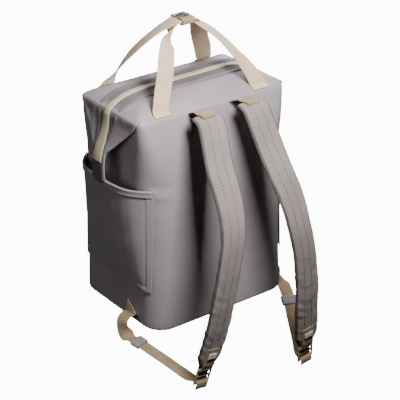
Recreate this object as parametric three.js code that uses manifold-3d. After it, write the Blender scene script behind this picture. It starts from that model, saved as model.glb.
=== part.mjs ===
// Cooler backpack: a padded, welded fabric bag with two webbing carry handles gathered by a
// snap wrap, a zip whose two ends fold down as wings over the sides, a bulging pocket on each
// side and two padded shoulder straps with adjusters and free webbing below.
// Millimetres, +Z up, +X to the right of someone who faces the harness side. That side
// faces -Y. The bag is laid out with z = 0 at its base, and the finished group is lowered so
// that its origin is the carry grip, from which the bag hangs.

import * as THREE from 'three';
import { mergeVertices } from 'three/addons/utils/BufferGeometryUtils.js';
import Module from 'manifold-3d';

const wasm = await Module();
wasm.setup();

// Main bag
const baseLength = 296;
const baseDepth = 238;
const shoulderLength = 308;
const shoulderDepth = 175;
const shoulderHeight = 387;
const crownRise = 20;
const cornerRadius = 28;
const baseRound = 6;
const wallThickness = 12;
const mouthLength = 216;
const mouthWidth = 8;

// Clearance between pieces that touch on the real bag
const seat = 0.3;

// Webbing and thin sheet
const webbingThickness = 2;
const fabricThickness = 2;

// Wings and their end patches
const wingThickness = 2.5;
const wingDrop = 125;
const wingNeck = 70;
const tabWidth = 34;
const patchThickness = 1.6;

// Zip
const tapeWidth = 62;
const tapeEndWidth = 27;
const tapeThickness = 1.2;
const bandWidth = 12.5;
const bandEndWidth = 24;
const bandThickness = 1.6;
const bandStop = 87;
const bandWidens = 0.38;
const sliderLength = 16;
const sliderWidth = 9;
const sliderHeight = 4;

// Side pockets
const pocketBottom = 76;
const pocketTop = 267;
const pocketWidth = 196;
const pocketBulge = 22;
const hemHeight = 11;

// Carry handles and the wrap that gathers them
const handleWidth = 31;
const handleSpan = 207;
const handleRise = 120;
const handleFoot = 10;
const handleStack = 4;
const wrapLength = 26;
const wrapWall = 2;
const wrapRoom = 1;
const handleSnapLength = 25;
const handleSnapWidth = 17;
const handleSnapThickness = 3;

// Shoulder straps
const strapWidth = 55;
const strapThickness = 9;
const strapTopHeight = shoulderHeight + 1;
const strapDrop = 428;
const strapReach = 118;
const strapBow = 126;
const strapTopSpread = 94;
const strapBottomSpread = 228;
const harnessWidth = 25;
const anchorHeight = shoulderHeight - 3;
const anchorSpread = 85;

// Adjusters and the free webbing below
const buckleWidth = 34;
const buckleHeight = 34;
const buckleThickness = 4;
const buckleBar = 4;
const buckleDrop = 25;
const endTagWidth = 17;
const endTagHeight = 12;
const tailLength = 11;
const webbingStartHeight = 16;
const webbingStartBack = 47;
const webbingOut = 28;
const webbingSag = 16;
const keeperLength = 18;
const keeperWall = 1.8;
const keeperRoom = 1.28;
const anchorPatchSize = 30;
const anchorPatchHeight = 25;

// Sections of the bag from base to shoulder. rise is a share of the shoulder height, flare and
// lean are shares of the way from the base's size to the shoulder's, round is a share of the
// corner radius, and inset is a share of the base's rounding.
const bagSections = [
  { rise: 0.0, flare: 0.0, lean: 0.0, round: 1.0, inset: 1.0 },
  { rise: 0.004, flare: 0.0, lean: 0.0, round: 1.0, inset: 0.35 },
  { rise: 0.016, flare: 0.0, lean: 0.0, round: 1.0, inset: 0.0 },
  { rise: 0.2, flare: 0.0, lean: 0.1, round: 1.05, inset: 0.0 },
  { rise: 0.4, flare: 0.08, lean: 0.22, round: 1.1, inset: 0.0 },
  { rise: 0.58, flare: 0.2, lean: 0.34, round: 1.1, inset: 0.0 },
  { rise: 0.74, flare: 0.35, lean: 0.47, round: 1.0, inset: 0.0 },
  { rise: 0.86, flare: 0.55, lean: 0.62, round: 0.8, inset: 0.0 },
  { rise: 0.95, flare: 0.85, lean: 0.84, round: 0.55, inset: 0.0 },
  { rise: 1.0, flare: 1.0, lean: 1.0, round: 0.35, inset: 0.0 },
];

// Rings of the crown, as shares of the shoulder's half depth, measured in from its edge.
const crownInsets = [0.05, 0.13, 0.25, 0.42, 0.62, 0.82, 0.97];
const crownPower = 3.4;

// The wing's outline. drop is a share of the wing's drop, reach a share of its reach.
const wingSections = [
  { drop: 0.02, reach: 0.0 },
  { drop: 0.15, reach: 0.03 },
  { drop: 0.28, reach: 0.2 },
  { drop: 0.42, reach: 0.47 },
  { drop: 0.5, reach: 0.68 },
  { drop: 0.58, reach: 0.86 },
  { drop: 0.65, reach: 0.95 },
  { drop: 0.72, reach: 1.0 },
  { drop: 0.94, reach: 1.0 },
  { drop: 1.0, reach: 1.0 },
];
const tabTipShare = 0.62;
const tabCut = 0.94;

// The pocket's bulge across its width: side is a share of its half width, bulge a share of
// the full bulge.
const pocketProfile = [
  { side: 0.0, bulge: 1.0 },
  { side: 0.25, bulge: 1.0 },
  { side: 0.53, bulge: 0.84 },
  { side: 0.68, bulge: 0.6 },
  { side: 0.78, bulge: 0.38 },
  { side: 0.87, bulge: 0.18 },
  { side: 0.94, bulge: 0.06 },
  { side: 1.0, bulge: 0.0 },
];
const pocketRows = 8;

// One leg of a carry handle, from its foot to the middle of the grip. across is a share of
// the half span, out a share of the foot's distance from the middle, up a share of the rise.
const handleLeg = [
  { across: 0.95, out: 0.93, up: 0.1 },
  { across: 0.87, out: 0.83, up: 0.24 },
  { across: 0.72, out: 0.66, up: 0.46 },
  { across: 0.58, out: 0.45, up: 0.65 },
  { across: 0.455, out: 0.28, up: 0.79 },
  { across: 0.31, out: 0.16, up: 0.895 },
  { across: 0.18, out: 0.02, up: 0.98 },
  { across: 0.1, out: 0.0, up: 1.0 },
  { across: 0.0, out: 0.0, up: 1.0 },
];

// How far each leg has turned at those places, from 0, width along the bag, to 1, width
// across it.
const legTurns = {
  backRight: [0, 0, 0, 0.05, 0.2, 0.85, 0.98, 1, 1],
  backLeft: [0, -0.1, -0.12, -0.05, 0.25, 0.85, 0.98, 1, 1],
  frontRight: [0.1, 0.3, 0.45, 0.55, 0.75, 0.95, 1, 1, 1],
  frontLeft: [0.2, 0.5, 0.65, 0.8, 0.9, 1, 1, 1, 1],
};

// A shoulder strap from its top to its tip. spread is a share of the way from the top spread
// to the bottom one, bow a share of the bow out from the reach, drop a share of the drop, and
// width a share of the strap's width.
const strapRoute = [
  { spread: 0.0, bow: 0.0, drop: 0.002, width: 0.92 },
  { spread: 0.0, bow: 0.1, drop: 0.0, width: 1.0 },
  { spread: 0.005, bow: 0.17, drop: 0.008, width: 1.0 },
  { spread: 0.02, bow: 0.225, drop: 0.03, width: 1.0 },
  { spread: 0.075, bow: 0.325, drop: 0.087, width: 1.0 },
  { spread: 0.134, bow: 0.444, drop: 0.157, width: 1.0 },
  { spread: 0.18, bow: 0.6, drop: 0.227, width: 0.99 },
  { spread: 0.245, bow: 0.755, drop: 0.298, width: 0.96 },
  { spread: 0.3, bow: 0.86, drop: 0.367, width: 0.92 },
  { spread: 0.37, bow: 0.915, drop: 0.437, width: 0.89 },
  { spread: 0.5, bow: 0.94, drop: 0.53, width: 0.89 },
  { spread: 0.604, bow: 0.935, drop: 0.625, width: 0.91 },
  { spread: 0.69, bow: 0.917, drop: 0.718, width: 0.93 },
  { spread: 0.76, bow: 0.88, drop: 0.81, width: 0.94 },
  { spread: 0.85, bow: 0.835, drop: 0.895, width: 0.94 },
  { spread: 0.92, bow: 0.794, drop: 0.955, width: 0.92 },
  { spread: 0.965, bow: 0.765, drop: 1.0, width: 0.64 },
];
const strapSteps = 42;

// A padded strap's section: side is a share of its width, face of its thickness.
const strapSection = [
  { side: -0.5, face: -0.25 },
  { side: -0.44, face: -0.5 },
  { side: 0.44, face: -0.5 },
  { side: 0.5, face: -0.25 },
  { side: 0.5, face: 0.25 },
  { side: 0.44, face: 0.5 },
  { side: -0.44, face: 0.5 },
  { side: -0.5, face: 0.25 },
];

// The free webbing from the bag's side to the adjuster. along is a share of the straight way
// between its ends, out a share of its swing away from the bag, sag a share of its sag, and
// turn goes from 0, width along the bag's side, to 1, width as the adjuster's.
const webbingRoute = [
  { along: 0.0, out: 0.0, sag: 0.0, turn: 0.0 },
  { along: 0.01, out: 0.4, sag: -0.05, turn: 0.05 },
  { along: 0.035, out: 0.82, sag: 0.2, turn: 0.2 },
  { along: 0.08, out: 1.0, sag: 0.8, turn: 0.45 },
  { along: 0.17, out: 1.0, sag: 1.0, turn: 0.7 },
  { along: 0.25, out: 0.95, sag: 0.7, turn: 0.9 },
  { along: 0.35, out: 0.88, sag: 0.45, turn: 1.0 },
  { along: 0.47, out: 0.76, sag: 0.3, turn: 1.0 },
  { along: 0.62, out: 0.54, sag: 0.2, turn: 1.0 },
  { along: 0.8, out: 0.3, sag: 0.1, turn: 1.0 },
  { along: 0.94, out: 0.08, sag: 0.0, turn: 1.0 },
];

// How each side hangs: longer is added to the strap's drop, and keeperRow is the place of the
// keeper among the rows of the webbing's route.
const hangs = {
  right: { longer: 20, keeperRow: 6.6 },
  left: { longer: -20, keeperRow: 5.6 },
};

// The width's direction of the free webbing where it leaves the bag's side
const startSide = new THREE.Vector3(0, -0.55, 0.85);

// Places along a shoulder strap, from 0 at its top to 1 at its tip
const anchorPlaces = [0.03, 0.06, 0.09];
const tabPlaces = [0.895, 0.92, 0.945, 0.97, 1];
const tagPlace = 0.93;
const tabBend = 6;

// Colours, as on the real bag
const bagGrey = { color: '#a39da1', roughness: 0.62, metalness: 0 };
const tapeGrey = { color: '#8f898f', roughness: 0.75, metalness: 0 };
const zipCream = { color: '#cfc7b8', roughness: 0.6, metalness: 0 };
const webbingCream = { color: '#e8dccd', roughness: 0.85, metalness: 0 };
const webbingTan = { color: '#a8977f', roughness: 0.85, metalness: 0 };
const strapGrey = { color: '#9a9190', roughness: 0.9, metalness: 0 };
const patchGrey = { color: '#5d585b', roughness: 0.5, metalness: 0 };
const buckleTan = { color: '#8d7f69', roughness: 0.45, metalness: 0 };
const keeperGrey = { color: '#9d9698', roughness: 0.5, metalness: 0 };
const tagWhite = { color: '#e6e1da', roughness: 0.8, metalness: 0 };

const mix = (a, b, t) => a + (b - a) * t;
const xAxis = new THREE.Vector3(1, 0, 0);
const yAxis = new THREE.Vector3(0, 1, 0);

// The value of a table's column at a place along its key column, straight between rows.
function column(table, key, name, at) {
  if (at <= table[0][key]) return table[0][name];
  for (let k = 1; k < table.length; k++) {
    if (at > table[k][key]) continue;
    const before = table[k - 1];
    const share = (at - before[key]) / (table[k][key] - before[key]);
    return mix(before[name], table[k][name], share);
  }
  return table[table.length - 1][name];
}

// Closes a list of equal rings into one solid. 'fan' caps a round ring from its centre, and
// 'strip' caps a thin ring whose second half runs back beside its first.
function loft(rings, cap = 'fan') {
  const count = rings[0].length;
  const points = rings.flat();
  const faces = [];
  const quad = (a, b, c, d) => faces.push(a, b, c, a, c, d);
  for (let r = 0; r < rings.length - 1; r++) {
    for (let k = 0; k < count; k++) {
      const next = (k + 1) % count;
      const low = r * count;
      quad(low + k, low + next, low + count + next, low + count + k);
    }
  }
  const closeEnd = (first, reversed) => {
    const turn = (a, b, c) => (reversed ? faces.push(a, c, b) : faces.push(a, b, c));
    if (cap === 'strip') {
      for (let k = 0; k < count / 2 - 1; k++) {
        const back = count - 1 - k;
        turn(first + k, first + k + 1, first + back - 1);
        turn(first + k, first + back - 1, first + back);
      }
      return;
    }
    const ring = points.slice(first, first + count);
    const centre = ring.reduce((sum, p) => sum.add(p), new THREE.Vector3());
    points.push(centre.divideScalar(count));
    const middle = points.length - 1;
    for (let k = 0; k < count; k++) turn(middle, first + k, first + ((k + 1) % count));
  };
  closeEnd(0, true);
  closeEnd((rings.length - 1) * count, false);
  return outward(points, faces);
}

// A geometry from points and faces, turned so that its faces point out.
function outward(points, faces) {
  let volume = 0;
  const cross = new THREE.Vector3();
  for (let k = 0; k < faces.length; k += 3) {
    cross.crossVectors(points[faces[k + 1]], points[faces[k + 2]]);
    volume += points[faces[k]].dot(cross);
  }
  const index = faces.slice();
  if (volume < 0) {
    for (let k = 0; k < index.length; k += 3) {
      [index[k + 1], index[k + 2]] = [index[k + 2], index[k + 1]];
    }
  }
  const geometry = new THREE.BufferGeometry();
  geometry.setAttribute(
    'position',
    new THREE.Float32BufferAttribute(points.flatMap((p) => [p.x, p.y, p.z]), 3),
  );
  geometry.setIndex(index);
  geometry.computeVertexNormals();
  return geometry;
}

function toSolid(geometry) {
  const bare = geometry.clone();
  bare.deleteAttribute('normal');
  bare.deleteAttribute('uv');
  const merged = mergeVertices(bare);
  return new wasm.Manifold(
    new wasm.Mesh({
      numProp: 3,
      vertProperties: merged.getAttribute('position').array,
      triVerts: new Uint32Array(merged.getIndex().array),
    }),
  );
}

function toGeometry(solid) {
  const mesh = solid.getMesh();
  const geometry = new THREE.BufferGeometry();
  geometry.setAttribute('position', new THREE.Float32BufferAttribute(mesh.vertProperties, 3));
  geometry.setIndex(Array.from(mesh.triVerts));
  geometry.computeVertexNormals();
  return geometry;
}

// The bag's half length, half depth and corner radius at a height.
function bagAt(height) {
  const rise = height / shoulderHeight;
  const at = (name) => column(bagSections, 'rise', name, rise);
  const inset = at('inset') * baseRound;
  return {
    halfLength: mix(baseLength, shoulderLength, at('flare')) / 2 - inset,
    halfDepth: mix(baseDepth, shoulderDepth, at('lean')) / 2 - inset,
    radius: Math.max(at('round') * cornerRadius - inset, 1),
  };
}

// How far the crown rises above the shoulder at a distance in from the shoulder's edge.
function crownLift(inset) {
  const share = Math.min(Math.max(inset / (shoulderDepth / 2), 0), 1);
  return crownRise * (1 - (1 - share) ** crownPower);
}

// Height of the top surface above any point of the plan.
function topHeight(x, y) {
  const inset = Math.min(shoulderLength / 2 - Math.abs(x), shoulderDepth / 2 - Math.abs(y));
  return shoulderHeight + crownLift(inset);
}

const arcSteps = 5;
const sideSteps = 4;

// A rounded rectangle in plan, counterclockwise, with the same number of points at any size.
function planRing(halfLength, halfDepth, radius, height) {
  const ring = [];
  const corners = [
    { x: 1, y: -1, start: -Math.PI / 2 },
    { x: 1, y: 1, start: 0 },
    { x: -1, y: 1, start: Math.PI / 2 },
    { x: -1, y: -1, start: Math.PI },
  ];
  for (const corner of corners) {
    const cx = corner.x * (halfLength - radius);
    const cy = corner.y * (halfDepth - radius);
    for (let k = 0; k <= arcSteps; k++) {
      const angle = corner.start + (k / arcSteps) * (Math.PI / 2);
      const x = cx + radius * Math.cos(angle);
      const y = cy + radius * Math.sin(angle);
      ring.push(new THREE.Vector3(x, y, height));
    }
  }
  const filled = [];
  ring.forEach((point, k) => {
    filled.push(point);
    if (k % (arcSteps + 1) !== arcSteps) return;
    const next = ring[(k + 1) % ring.length];
    for (let s = 1; s < sideSteps; s++) filled.push(point.clone().lerp(next, s / sideSteps));
  });
  return filled;
}

// The bag's outer or inner skin, a wall's thickness in from the outer one.
function bagSkin(wall) {
  const rings = [];
  for (const section of bagSections) {
    const height = section.rise * shoulderHeight;
    if (wall > 0 && section.inset > 0) continue;
    const size = bagAt(height);
    const radius = Math.max(size.radius - wall, 1);
    const floor = rings.length === 0 ? Math.max(height, wall) : height;
    rings.push(planRing(size.halfLength - wall, size.halfDepth - wall, radius, floor));
  }
  const shoulder = bagAt(shoulderHeight);
  for (const share of crownInsets) {
    const inset = share * (shoulderDepth / 2);
    const halfDepth = shoulder.halfDepth - Math.max(inset, wall);
    if (inset < wall || halfDepth < 2) continue;
    const radius = Math.min(Math.max(shoulder.radius - inset, 1), halfDepth * 0.9);
    const height = shoulderHeight + crownLift(inset) - wall;
    rings.push(planRing(shoulder.halfLength - inset, halfDepth, radius, height));
  }
  // The inner skin goes straight from below the shoulder to its crown.
  const shoulderRing = bagSections.length - 3;
  if (wall > 0) rings.splice(shoulderRing, 1);
  return loft(rings);
}

// The body: the outer skin less the inner one and the mouth's slot.
function makeBody() {
  const slot = new THREE.BoxGeometry(mouthLength, mouthWidth, crownRise + wallThickness * 2);
  slot.translate(0, 0, shoulderHeight + crownRise);
  const outer = toSolid(bagSkin(0));
  const inner = toSolid(bagSkin(wallThickness));
  return toGeometry(outer.subtract(inner).subtract(toSolid(slot)));
}

// A thin closed sheet from rows of { point, out }, where out is the unit direction of its
// thickness, which begins at lift above the points.
function sheet(rows, lift, thickness) {
  const rings = rows.map((row) => {
    const place = (spot, height) => spot.point.clone().addScaledVector(spot.out, height);
    const face = row.map((spot) => place(spot, lift + thickness));
    const back = row.map((spot) => place(spot, lift)).reverse();
    return face.concat(back);
  });
  return loft(rings, 'strip');
}

// The room that a piece sewn on the bag leaves to its skin.
const bagRoom = toSolid(bagSkin(-seat));

function seatedOnBag(geometry) {
  return toGeometry(toSolid(geometry).subtract(bagRoom));
}

const hemFace = pocketBulge + fabricThickness + seat + fabricThickness;
const hemSide = bagAt(pocketTop).halfLength + seat + hemFace;
const wingReach = hemSide + seat - shoulderLength / 2;

// The wing's inner face in the plane across the bag: a point and its outward direction.
function wingSpot(drop) {
  const at = (share) => ({
    x: shoulderLength / 2 + seat + column(wingSections, 'drop', 'reach', share) * wingReach,
    z: shoulderHeight - share * wingDrop,
  });
  const here = at(drop);
  const above = at(Math.max(drop - 0.04, wingSections[0].drop));
  const below = at(Math.min(drop + 0.04, 1));
  const along = new THREE.Vector3(below.x - above.x, 0, below.z - above.z).normalize();
  return { x: here.x, z: here.z, out: new THREE.Vector3(-along.z, 0, along.x) };
}

// The wing narrows in straight lines to its neck, and its tab ends in cut corners.
function wingHalfWidth(drop) {
  const fall = drop * wingDrop;
  if (fall < wingNeck) return mix(shoulderDepth / 2, tabWidth / 2, fall / wingNeck);
  const cut = tabCut * wingDrop;
  if (fall < cut) return tabWidth / 2;
  return (tabWidth / 2) * mix(1, tabTipShare, (fall - cut) / (wingDrop - cut));
}

function wingRows(fromDrop, toDrop, halfWidth, steps) {
  const rows = [];
  for (let k = 0; k <= steps; k++) {
    const drop = mix(fromDrop, toDrop, k / steps);
    const spot = wingSpot(drop);
    const half = Math.min(halfWidth, wingHalfWidth(drop));
    rows.push([
      { point: new THREE.Vector3(spot.x, -half, spot.z), out: spot.out },
      { point: new THREE.Vector3(spot.x, half, spot.z), out: spot.out },
    ]);
  }
  return rows;
}

function makeWing() {
  return sheet(wingRows(wingSections[0].drop, 1, shoulderDepth, 16), 0, wingThickness);
}

const patchTop = (bandStop + seat) / wingDrop;

function makeWingPatch() {
  const rows = wingRows(patchTop, 1, tabWidth / 2 - 2, 6);
  return sheet(rows, wingThickness + seat, patchThickness);
}

// Half of the zip's way, from the middle of the crown to the foot of the wing: the surface it
// lies on, lifted clear of it, with the outward direction.
function zipWay(stopDrop) {
  const way = [];
  const half = shoulderLength / 2;
  const crownSteps = 12;
  const wingSteps = 12;
  for (let k = 0; k <= crownSteps; k++) {
    const x = half * Math.sin((k / crownSteps) * (Math.PI / 2) * 0.95);
    const slope = topHeight(x + 1, 0) - topHeight(x - 1, 0);
    const out = new THREE.Vector3(-slope / 2, 0, 1).normalize();
    way.push({ x, z: topHeight(x, 0), out, onCrown: true });
  }
  const hem = wingSpot(wingSections[0].drop);
  const bend = hem.out.clone().multiplyScalar(wingThickness);
  const over = new THREE.Vector3(0.7, 0, 0.7);
  way.push({ x: hem.x + bend.x + seat, z: hem.z + bend.z + seat * 2, out: over, onCrown: false });
  for (let k = 0; k <= wingSteps; k++) {
    const drop = mix(wingSections[0].drop + 0.04, stopDrop, k / wingSteps);
    const spot = wingSpot(drop);
    const outer = spot.out.clone().multiplyScalar(wingThickness);
    way.push({ x: spot.x + outer.x, z: spot.z + outer.z, out: spot.out, onCrown: false });
  }
  return way;
}

// A ribbon along the whole zip, from one wing's foot over the crown to the other's.
function zipRibbon(stopDrop, widthAt, lift, thickness, across) {
  const half = zipWay(stopDrop);
  const rowAt = (spot, sign, share) => {
    const row = [];
    for (let k = 0; k <= across; k++) {
      const y = mix(-0.5, 0.5, k / across) * widthAt(share);
      const fall = spot.onCrown ? topHeight(spot.x, 0) - topHeight(spot.x, y) : 0;
      const point = new THREE.Vector3(spot.x * sign, y, spot.z - fall);
      row.push({ point, out: new THREE.Vector3(spot.out.x * sign, 0, spot.out.z) });
    }
    return row;
  };
  const last = half.length - 1;
  const rows = [];
  for (let k = last; k > 0; k--) rows.push(rowAt(half[k], -1, k / last));
  for (let k = 0; k <= last; k++) rows.push(rowAt(half[k], 1, k / last));
  return sheet(rows, lift, thickness);
}

function makeZipTape() {
  const width = (share) => mix(tapeWidth, tapeEndWidth, Math.max(share * 2 - 0.85, 0) / 1.15);
  const tape = toSolid(zipRibbon(bandStop / wingDrop, width, seat, tapeThickness, 4));
  const wing = makeWing();
  const clear = bagRoom
    .add(toSolid(wing.clone().translate(seat, 0, seat)))
    .add(toSolid(mirrored(wing).translate(-seat, 0, seat)));
  return toGeometry(tape.subtract(clear));
}

function makeZipBand() {
  const stop = (bandStop - seat) / wingDrop;
  const widening = (share) => Math.max(share - bandWidens, 0) / (1 - bandWidens);
  const width = (share) => mix(bandWidth, bandEndWidth, widening(share));
  return zipRibbon(stop, width, seat + tapeThickness + seat, bandThickness, 1);
}

function makeZipSlider() {
  const slider = new THREE.BoxGeometry(sliderWidth, sliderLength, sliderHeight);
  const spot = wingSpot((bandStop - sliderLength) / wingDrop);
  const away = wingThickness + tapeThickness + bandThickness + seat * 3 + sliderHeight / 2;
  const middle = new THREE.Vector3(spot.x, 0, spot.z).addScaledVector(spot.out, away);
  return placed(slider, yAxis, new THREE.Vector3().crossVectors(spot.out, yAxis), middle);
}

// A point on the bag's side, at a distance along Y, with the outward direction in plan.
function sideSpot(y, height) {
  const size = bagAt(height);
  const past = Math.abs(y) - (size.halfDepth - size.radius);
  if (past <= 0) return { x: size.halfLength, out: xAxis.clone() };
  const deep = Math.sqrt(Math.max(size.radius ** 2 - past ** 2, 0));
  const out = new THREE.Vector3(deep, Math.sign(y) * past, 0).normalize();
  return { x: size.halfLength - size.radius + deep, out };
}

// The pocket's inner face from its bottom to its top, on the +X side.
function pocketRowsOf(fromHeight, toHeight, steps) {
  const sides = pocketProfile.map((row) => row.side);
  const shares = sides.slice(1).reverse().map((s) => -s).concat(sides);
  const rows = [];
  for (let r = 0; r <= steps; r++) {
    const height = mix(fromHeight, toHeight, r / steps);
    const climb = (height - pocketBottom) / (pocketTop - pocketBottom);
    const swell = Math.sin((Math.min(climb, 1) * Math.PI) / 2) ** 0.8;
    const row = shares.map((share) => {
      const y = (share * pocketWidth) / 2;
      const spot = sideSpot(y, height);
      const bulge = column(pocketProfile, 'side', 'bulge', Math.abs(share)) * pocketBulge * swell;
      const x = spot.x + seat + bulge;
      const out = spot.out.clone().lerp(xAxis, Math.min(bulge / pocketBulge + 0.3, 1)).normalize();
      return { point: new THREE.Vector3(x, y, height), out };
    });
    rows.push(row);
  }
  return rows;
}

function makePocket() {
  return sheet(pocketRowsOf(pocketBottom, pocketTop, pocketRows), seat, fabricThickness);
}

function makePocketHem() {
  const rows = pocketRowsOf(pocketTop - hemHeight, pocketTop, 2);
  return sheet(rows, seat + fabricThickness + seat, fabricThickness);
}

// The frame of a strip at a place along its points: its middle, its way, its width's
// direction and its face's direction.
function stripFrame(route, sides, t) {
  const place = t * (sides.length - 1);
  const low = Math.min(Math.floor(place), sides.length - 2);
  const side = sides[low].clone().lerp(sides[low + 1], place - low);
  const along = route.getTangent(t);
  side.addScaledVector(along, -side.dot(along)).normalize();
  const face = new THREE.Vector3().crossVectors(along, side);
  return { centre: route.getPoint(t), along, side, face, low, share: place - low };
}

const flatSection = [
  { side: -0.5, face: -0.5 },
  { side: 0.5, face: -0.5 },
  { side: 0.5, face: 0.5 },
  { side: -0.5, face: 0.5 },
];

const routeOf = (points) => new THREE.CatmullRomCurve3(points, false, 'centripetal');

// A strip along points, with its width along the given side directions. widths holds a share
// of the width at each point.
function strip(points, sides, width, thickness, options) {
  const { steps, widths = null, section = flatSection } = options;
  const route = routeOf(points);
  const rings = [];
  for (let k = 0; k <= steps; k++) {
    const frame = stripFrame(route, sides, k / steps);
    const wide = widths ? mix(widths[frame.low], widths[frame.low + 1], frame.share) : 1;
    rings.push(
      section.map((spot) =>
        frame.centre
          .clone()
          .addScaledVector(frame.side, spot.side * wide * width)
          .addScaledVector(frame.face, spot.face * thickness),
      ),
    );
  }
  return loft(rings);
}

const allAlong = (points, side) => points.map(() => side.clone());

// A flat outline turned and placed by a frame of three directions.
function placed(geometry, side, up, middle) {
  const out = new THREE.Vector3().crossVectors(side, up);
  geometry.applyMatrix4(new THREE.Matrix4().makeBasis(side, up, out));
  return geometry.translate(middle.x, middle.y, middle.z);
}

function rectangle(halfWidth, low, high) {
  return [
    new THREE.Vector2(-halfWidth, low),
    new THREE.Vector2(halfWidth, low),
    new THREE.Vector2(halfWidth, high),
    new THREE.Vector2(-halfWidth, high),
  ];
}

// A flat rectangular sleeve round the origin, with its way along Z.
function sleeve(innerHalf, innerRise, wall, length) {
  const shape = new THREE.Shape(
    rectangle(innerHalf + wall, -innerRise - wall, innerRise + wall),
  );
  shape.holes.push(new THREE.Path(rectangle(innerHalf, -innerRise, innerRise)));
  const tube = new THREE.ExtrudeGeometry(shape, { depth: length, bevelEnabled: false });
  return tube.translate(0, 0, -length / 2);
}

const mirrorX = (v) => new THREE.Vector3(-v.x, v.y, v.z);

// A point on the crown with its outward direction, lifted by a distance.
function crownSpot(x, y, lift) {
  const step = 0.5;
  const slope = (topHeight(x, y + step) - topHeight(x, y - step)) / (2 * step);
  const out = new THREE.Vector3(0, -slope, 1).normalize();
  return new THREE.Vector3(x, y, topHeight(x, y)).addScaledVector(out, lift);
}

const handleFootY = shoulderDepth / 2 - handleFoot;
const gripHeight = topHeight(0, handleFootY) + handleRise;

// A carry handle. face is -1 on the harness side and 1 on the front, and stack lifts its
// middle clear of the other handle.
function makeHandle(name, face, stack) {
  const lift = webbingThickness / 2 + seat;
  const half = handleSpan / 2;
  const toe = crownSpot(half, face * (handleFootY + handleFoot * 0.8), lift);
  const foot = crownSpot(half, face * handleFootY, lift);
  const acrossBag = new THREE.Vector3(0, -1, 0);
  const points = [toe, foot];
  const rightSides = allAlong(points, xAxis);
  const leftSides = allAlong(points, xAxis);
  for (const [k, row] of handleLeg.entries()) {
    const z = mix(foot.z, gripHeight + stack, row.up);
    points.push(new THREE.Vector3(row.across * half, row.out * foot.y, z));
    rightSides.push(xAxis.clone().lerp(acrossBag, legTurns[`${name}Right`][k]));
    leftSides.push(xAxis.clone().lerp(acrossBag, legTurns[`${name}Left`][k]));
  }
  const backPoints = points.slice(0, -1).reverse().map(mirrorX);
  const backSides = leftSides.slice(0, -1).reverse().map(mirrorX);
  const loop = points.concat(backPoints);
  const sides = rightSides.concat(backSides);
  return seatedOnBag(strip(loop, sides, handleWidth, webbingThickness, { steps: 64 }));
}

// The wrap is a flat sleeve round both handles.
const wrapRise = handleStack / 2 + webbingThickness / 2 + wrapRoom;
const wrapTop = gripHeight + wrapRise + wrapWall;
const wrapUnderside = gripHeight - wrapRise - wrapWall;

function makeHandleWrap() {
  const wrap = sleeve(handleWidth / 2 + wrapRoom, wrapRise, wrapWall, wrapLength);
  const middle = new THREE.Vector3(0, 0, gripHeight);
  return placed(wrap, yAxis, new THREE.Vector3(0, 0, 1), middle);
}

function makeHandleSnap() {
  const cap = new THREE.CylinderGeometry(0.42, 0.5, handleSnapThickness, 20);
  cap.rotateX(Math.PI / 2);
  cap.scale(handleSnapLength, handleSnapWidth, 1);
  return cap.translate(0, 0, wrapTop + seat + handleSnapThickness / 2);
}

// The flat triangle that the free webbing folds into where it is sewn on the bag's side, seen
// from outside: ahead is a share of its size, up of its height.
const foldCorners = [
  { ahead: -0.38, up: 0.5 },
  { ahead: 0.0, up: 0.0 },
  { ahead: 0.62, up: 0.3 },
  { ahead: 0.3, up: 1.0 },
];

function makeWebbingAnchor() {
  const corners = foldCorners.map(
    (spot) => new THREE.Vector2(spot.ahead * anchorPatchSize, spot.up * anchorPatchHeight),
  );
  const patch = new THREE.ExtrudeGeometry(new THREE.Shape(corners), {
    depth: webbingThickness,
    bevelEnabled: false,
  });
  const low = baseRound + webbingThickness;
  const middle = new THREE.Vector3(bagAt(low).halfLength + seat, -webbingStartBack, low);
  return placed(patch, yAxis, new THREE.Vector3(0, 0, 1), middle);
}

const slotHeight = (buckleHeight - 3 * buckleBar) / 2;
const topBar = buckleHeight / 2 - buckleBar / 2;

// Webbing round a bar clears the corners of the bar.
const barTurn = (Math.hypot(buckleBar, buckleThickness) + webbingThickness) / 2 + seat;

// The adjuster round the origin: a plate with two slots, facing +Z.
function makeBucklePlate() {
  const half = buckleHeight / 2;
  const shape = new THREE.Shape(rectangle(buckleWidth / 2, -half, half));
  const slotHalf = harnessWidth / 2 + 1;
  const slotLow = buckleBar / 2;
  shape.holes.push(new THREE.Path(rectangle(slotHalf, slotLow, slotLow + slotHeight)));
  shape.holes.push(new THREE.Path(rectangle(slotHalf, -slotLow - slotHeight, -slotLow)));
  const plate = new THREE.ExtrudeGeometry(shape, {
    depth: buckleThickness,
    bevelEnabled: false,
  });
  return plate.translate(0, 0, -buckleThickness / 2);
}

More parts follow.
